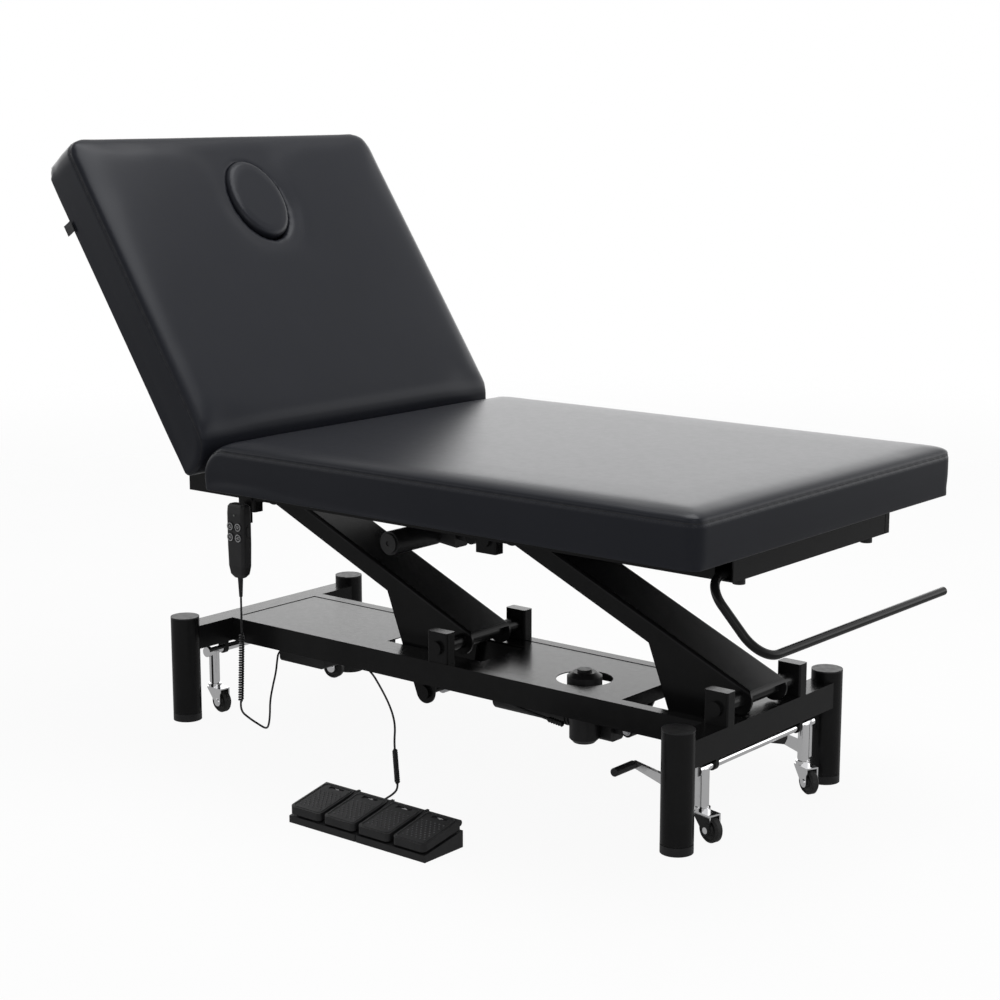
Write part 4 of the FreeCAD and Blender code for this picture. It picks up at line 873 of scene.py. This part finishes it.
def side_tag():
    """A blank woven tag, sewn to the back pad's rear edge on the near side."""
    local = back_matrix()
    wide, long, steps = 24 * MM, 22 * MM, 8
    at, side, rise = 560 * MM, PAD_HALF_W + 0.8 * MM, 9 * MM
    lean, curve = 1.5 * MM, 2.5 * MM
    verts, faces = [], []
    for i in range(steps + 1):
        share = i / steps
        bend = curve * share * share
        for k in range(steps + 1):
            place = (at + wide * k / steps, side - lean * share + bend, rise - long * share)
            verts.append(local @ Vector(place))
    for i in range(steps):
        for k in range(steps):
            a = i * (steps + 1) + k
            faces.append((a, a + 1, a + steps + 2, a + steps + 1))
    tag = mesh_object("side_tag", verts, faces, WEAVE)
    put(tag, "backrest")


def lever_sleeve():
    """The rubber sleeve on the head gear's lever, as the foot gear's levers have."""
    start, length, radius = Vector((-488 * MM, 187.3 * MM, 114 * MM)), 60.4 * MM, 8.9 * MM
    rings, ring_w, ring_depth = 8, 1.5 * MM, 0.5 * MM
    chamfer_in, chamfer_out = 1.2 * MM, 1.5 * MM
    rows = [(0, radius - chamfer_in), (chamfer_in, radius)]
    for ring in range(1, rings + 1):
        along = length * ring / (rings + 2)
        rows += [(along, radius), (along + ring_w, radius - ring_depth), (along + 2 * ring_w, radius)]
    rows += [(length - chamfer_out, radius), (length, radius - chamfer_out)]
    sleeve = lathe_parts(rows, start, Vector((0, 1, 0)))
    put(joined("lever_sleeve_head", [sleeve], LOOKS["castor_tyre"]), "castor_gear_head")


def castor_cheek_painted_reflection():
    """A dark plate on the near cheek of the near foot castor: painted reflection, standing in for the dark
    reflection that the chrome cheek shows.
    """
    stem, turn = (628 * MM, -170 * MM, 0), math.radians(-13)
    turned = Matrix.Translation(stem) @ Matrix.Rotation(turn, 4, "Z")
    cheek, roof, hub, trail, reach = -13.6 * MM, 50.5 * MM, 25.5 * MM, 22 * MM, 10 * MM
    thick, steps = 1.6 * MM, 12
    outline = [(-reach, roof), (trail + reach, roof), (trail + reach, hub)]
    for step in range(1, steps):
        angle = -math.pi * step / steps
        outline.append((trail + reach * math.cos(angle), hub + reach * math.sin(angle)))
    outline.append((trail - reach, hub))
    points = [turned @ Vector((x, cheek, z)) for x, z in outline]
    plate = plate_parts(points, turned.to_3x3() @ Vector((0, -thick, 0)))
    # Painted reflection: a dark plate where the chrome cheek reflects dark.
    painted_reflection_plate = joined("castor_cheek_painted_reflection", [plate], LOOKS["black_plastic"], smooth=False)
    put(painted_reflection_plate, "castor_swivel_foot_near")


def bracket_nut():
    """Washer and nut on the near end of the lift actuator's rear pin."""
    near, clear = Vector((0, -1, 0)), 0.3
    pin_x, pin_z = 350 * MM, 108 * MM
    washer = ((-0.2 * MM, 9 * MM), (1.2 * MM, 9 * MM), (1.6 * MM, 8 * MM))
    nut = ((1.6 * MM, 7 * MM), (5.5 * MM, 7 * MM), (6.5 * MM, 6 * MM))
    tree = surface_tree(nodes["lift_rear_bracket"])
    start = tree.ray_cast(Vector((pin_x, -clear, pin_z)), -near)[0]
    parts = [lathe_parts(washer, start, near), lathe_parts(nut, start, near, sides=6)]
    put(joined("bracket_nut", parts, LOOKS["steel"], smooth=False), "base")


def slot_painted_shade_strip():
    """A dark folded strip along the far edge of the tray's slot, under the panel: painted shade, hiding the
    pale floor seen through the slot so the tray reads dark there.
    """
    x0, x1, y0 = -125 * MM, 38 * MM, 72 * MM
    z0, z1 = 138 * MM, 197 * MM
    foot, thick = 12 * MM, 1.5 * MM
    wall = [(x0, y0, z0), (x1, y0, z0), (x1, y0, z1), (x0, y0, z1)]
    lip = [(x0, y0, z0), (x1, y0, z0), (x1, y0 + foot, z0), (x0, y0 + foot, z0)]
    parts = [plate_parts(wall, Vector((0, thick, 0))), plate_parts(lip, Vector((0, 0, thick)))]
    # Painted shade: a dark strip under the slot where the tray looks shaded.
    put(joined("slot_painted_shade_strip", parts, LOOKS["powder_coat"], smooth=False), "base")


handset_face()
for number, sign in enumerate(PEDAL_SIGNS, 1):
    pedal_face(number, sign)
side_tag()
lever_sleeve()
# Painted reflection: a dark plate on the near foot castor's chrome cheek.
castor_cheek_painted_reflection()
bracket_nut()
# Painted shade: a dark strip that hides the pale floor under the tray's slot.
slot_painted_shade_strip()


# Room

def area_light(name, place, aim, size, power):
    data = bpy.data.lights.new(name, "AREA")
    data.shape = "RECTANGLE"
    data.size, data.size_y = size
    data.energy = power
    obj = link(bpy.data.objects.new(name, data))
    obj.location = place
    obj.rotation_euler = (Vector(place) - Vector(aim)).to_track_quat("Z", "Y").to_euler()


def math_node(tree, kind, a, b):
    made = tree.nodes.new("ShaderNodeMath")
    made.operation = kind
    for place, value in zip(made.inputs, (a, b)):
        if isinstance(value, float):
            place.default_value = value
        else:
            tree.links.new(value, place)
    return made.outputs[0]


def spread(tree, value, span, ends):
    made = tree.nodes.new("ShaderNodeMapRange")
    made.interpolation_type = "SMOOTHSTEP"
    for key, number in zip(("From Min", "From Max", "To Min", "To Max"), (*span, *ends)):
        made.inputs[key].default_value = number
    tree.links.new(value, made.inputs["Value"])
    return made.outputs["Result"]


def rays(tree):
    """What the camera sees straight on or through glass, and what it sees in a mirror."""
    path = tree.nodes.new("ShaderNodeLightPath")
    plain = math_node(tree, "MAXIMUM", path.outputs["Is Camera Ray"], path.outputs["Is Transmission Ray"])
    return plain, path.outputs["Is Glossy Ray"]


def white_room():
    """White behind the object, soft light from all round, and a darker room on the photographer's side."""
    world = bpy.data.worlds.new("white_room")
    scene.world = world
    world.use_nodes = True
    tree = world.node_tree
    back = tree.nodes["Background"]
    back.inputs["Color"].default_value = (1, 1, 1, 1)
    way = tree.nodes.new("ShaderNodeTexCoord").outputs["Generated"]
    height = tree.nodes.new("ShaderNodeSeparateXYZ")
    tree.links.new(way, height.inputs[0])
    ahead = tree.nodes.new("ShaderNodeVectorMath")
    ahead.operation = "DOT_PRODUCT"
    ahead.inputs[1].default_value = FRONT
    tree.links.new(way, ahead.inputs[0])
    low = spread(tree, height.outputs["Z"], HORIZON_SPAN, (ROOM_SHADE, WALL_LIGHT))
    high = spread(tree, height.outputs["Z"], CEILING_SPAN, (1.0, CEILING_SHARE))
    side = spread(tree, ahead.outputs["Value"], FRONT_SPAN, (1.0, ROOM_SHADE))
    shade = math_node(tree, "MULTIPLY", math_node(tree, "MULTIPLY", low, high), side)
    plain, mirror = rays(tree)
    level = math_node(tree, "ADD", plain, math_node(tree, "MULTIPLY", mirror, shade))
    rest = math_node(tree, "SUBTRACT", 1.0, math_node(tree, "MAXIMUM", plain, mirror))
    level = math_node(tree, "ADD", level, math_node(tree, "MULTIPLY", rest, ROOM_LIGHT))
    tree.links.new(level, back.inputs["Strength"])
    scene.view_settings.view_transform = "Standard"


def white_floor():
    """A pale floor that fades into the white round it and takes the object's shadow."""
    corners = [(x * FLOOR_R, y * FLOOR_R, 0) for x, y in ((-1, -1), (1, -1), (1, 1), (-1, 1))]
    look = Look("pale_floor", (0.92, 0.92, 0.92), roughness=0.6, specular=0.1)
    look.vary_roughness(look.noise(scale=5.0), low=0.55, high=0.65)
    tree = look.tree
    plain, mirror = rays(tree)
    glow = tree.nodes.new("ShaderNodeEmission")
    tree.links.new(spread(tree, plain, (0.0, 1.0), (FLOOR_SHADE, 1.0)), glow.inputs["Strength"])
    seen = math_node(tree, "MAXIMUM", plain, mirror)
    mix = tree.nodes.new("ShaderNodeMixShader")
    tree.links.new(math_node(tree, "MULTIPLY", seen, FLOOR_GLOW), mix.inputs[0])
    tree.links.new(look.shader.outputs[0], mix.inputs[1])
    tree.links.new(glow.outputs[0], mix.inputs[2])
    far = tree.nodes.new("ShaderNodeVectorMath")
    far.operation = "LENGTH"
    tree.links.new(look.coords, far.inputs[0])
    edge = tree.nodes.new("ShaderNodeMixShader")
    fade = spread(tree, far.outputs["Value"], (FLOOR_R - FLOOR_FADE, FLOOR_R), (0.0, 1.0))
    tree.links.new(fade, edge.inputs[0])
    tree.links.new(mix.outputs[0], edge.inputs[1])
    tree.links.new(tree.nodes.new("ShaderNodeBsdfTransparent").outputs[0], edge.inputs[2])
    tree.links.new(edge.outputs[0], tree.nodes["Material Output"].inputs["Surface"])
    floor = mesh_object("floor", corners, [(0, 1, 2, 3)], look.material, smooth=False)


white_room()
white_floor()
area_light("ceiling_box", place=(0.3, 0.4, 3.4), aim=(0.1, 0, 0.5), size=(2.6, 1.8), power=60)
area_light("front_box", place=(2.6, -2.2, 2.4), aim=(0, 0, 0.6), size=(1.6, 1.6), power=12)
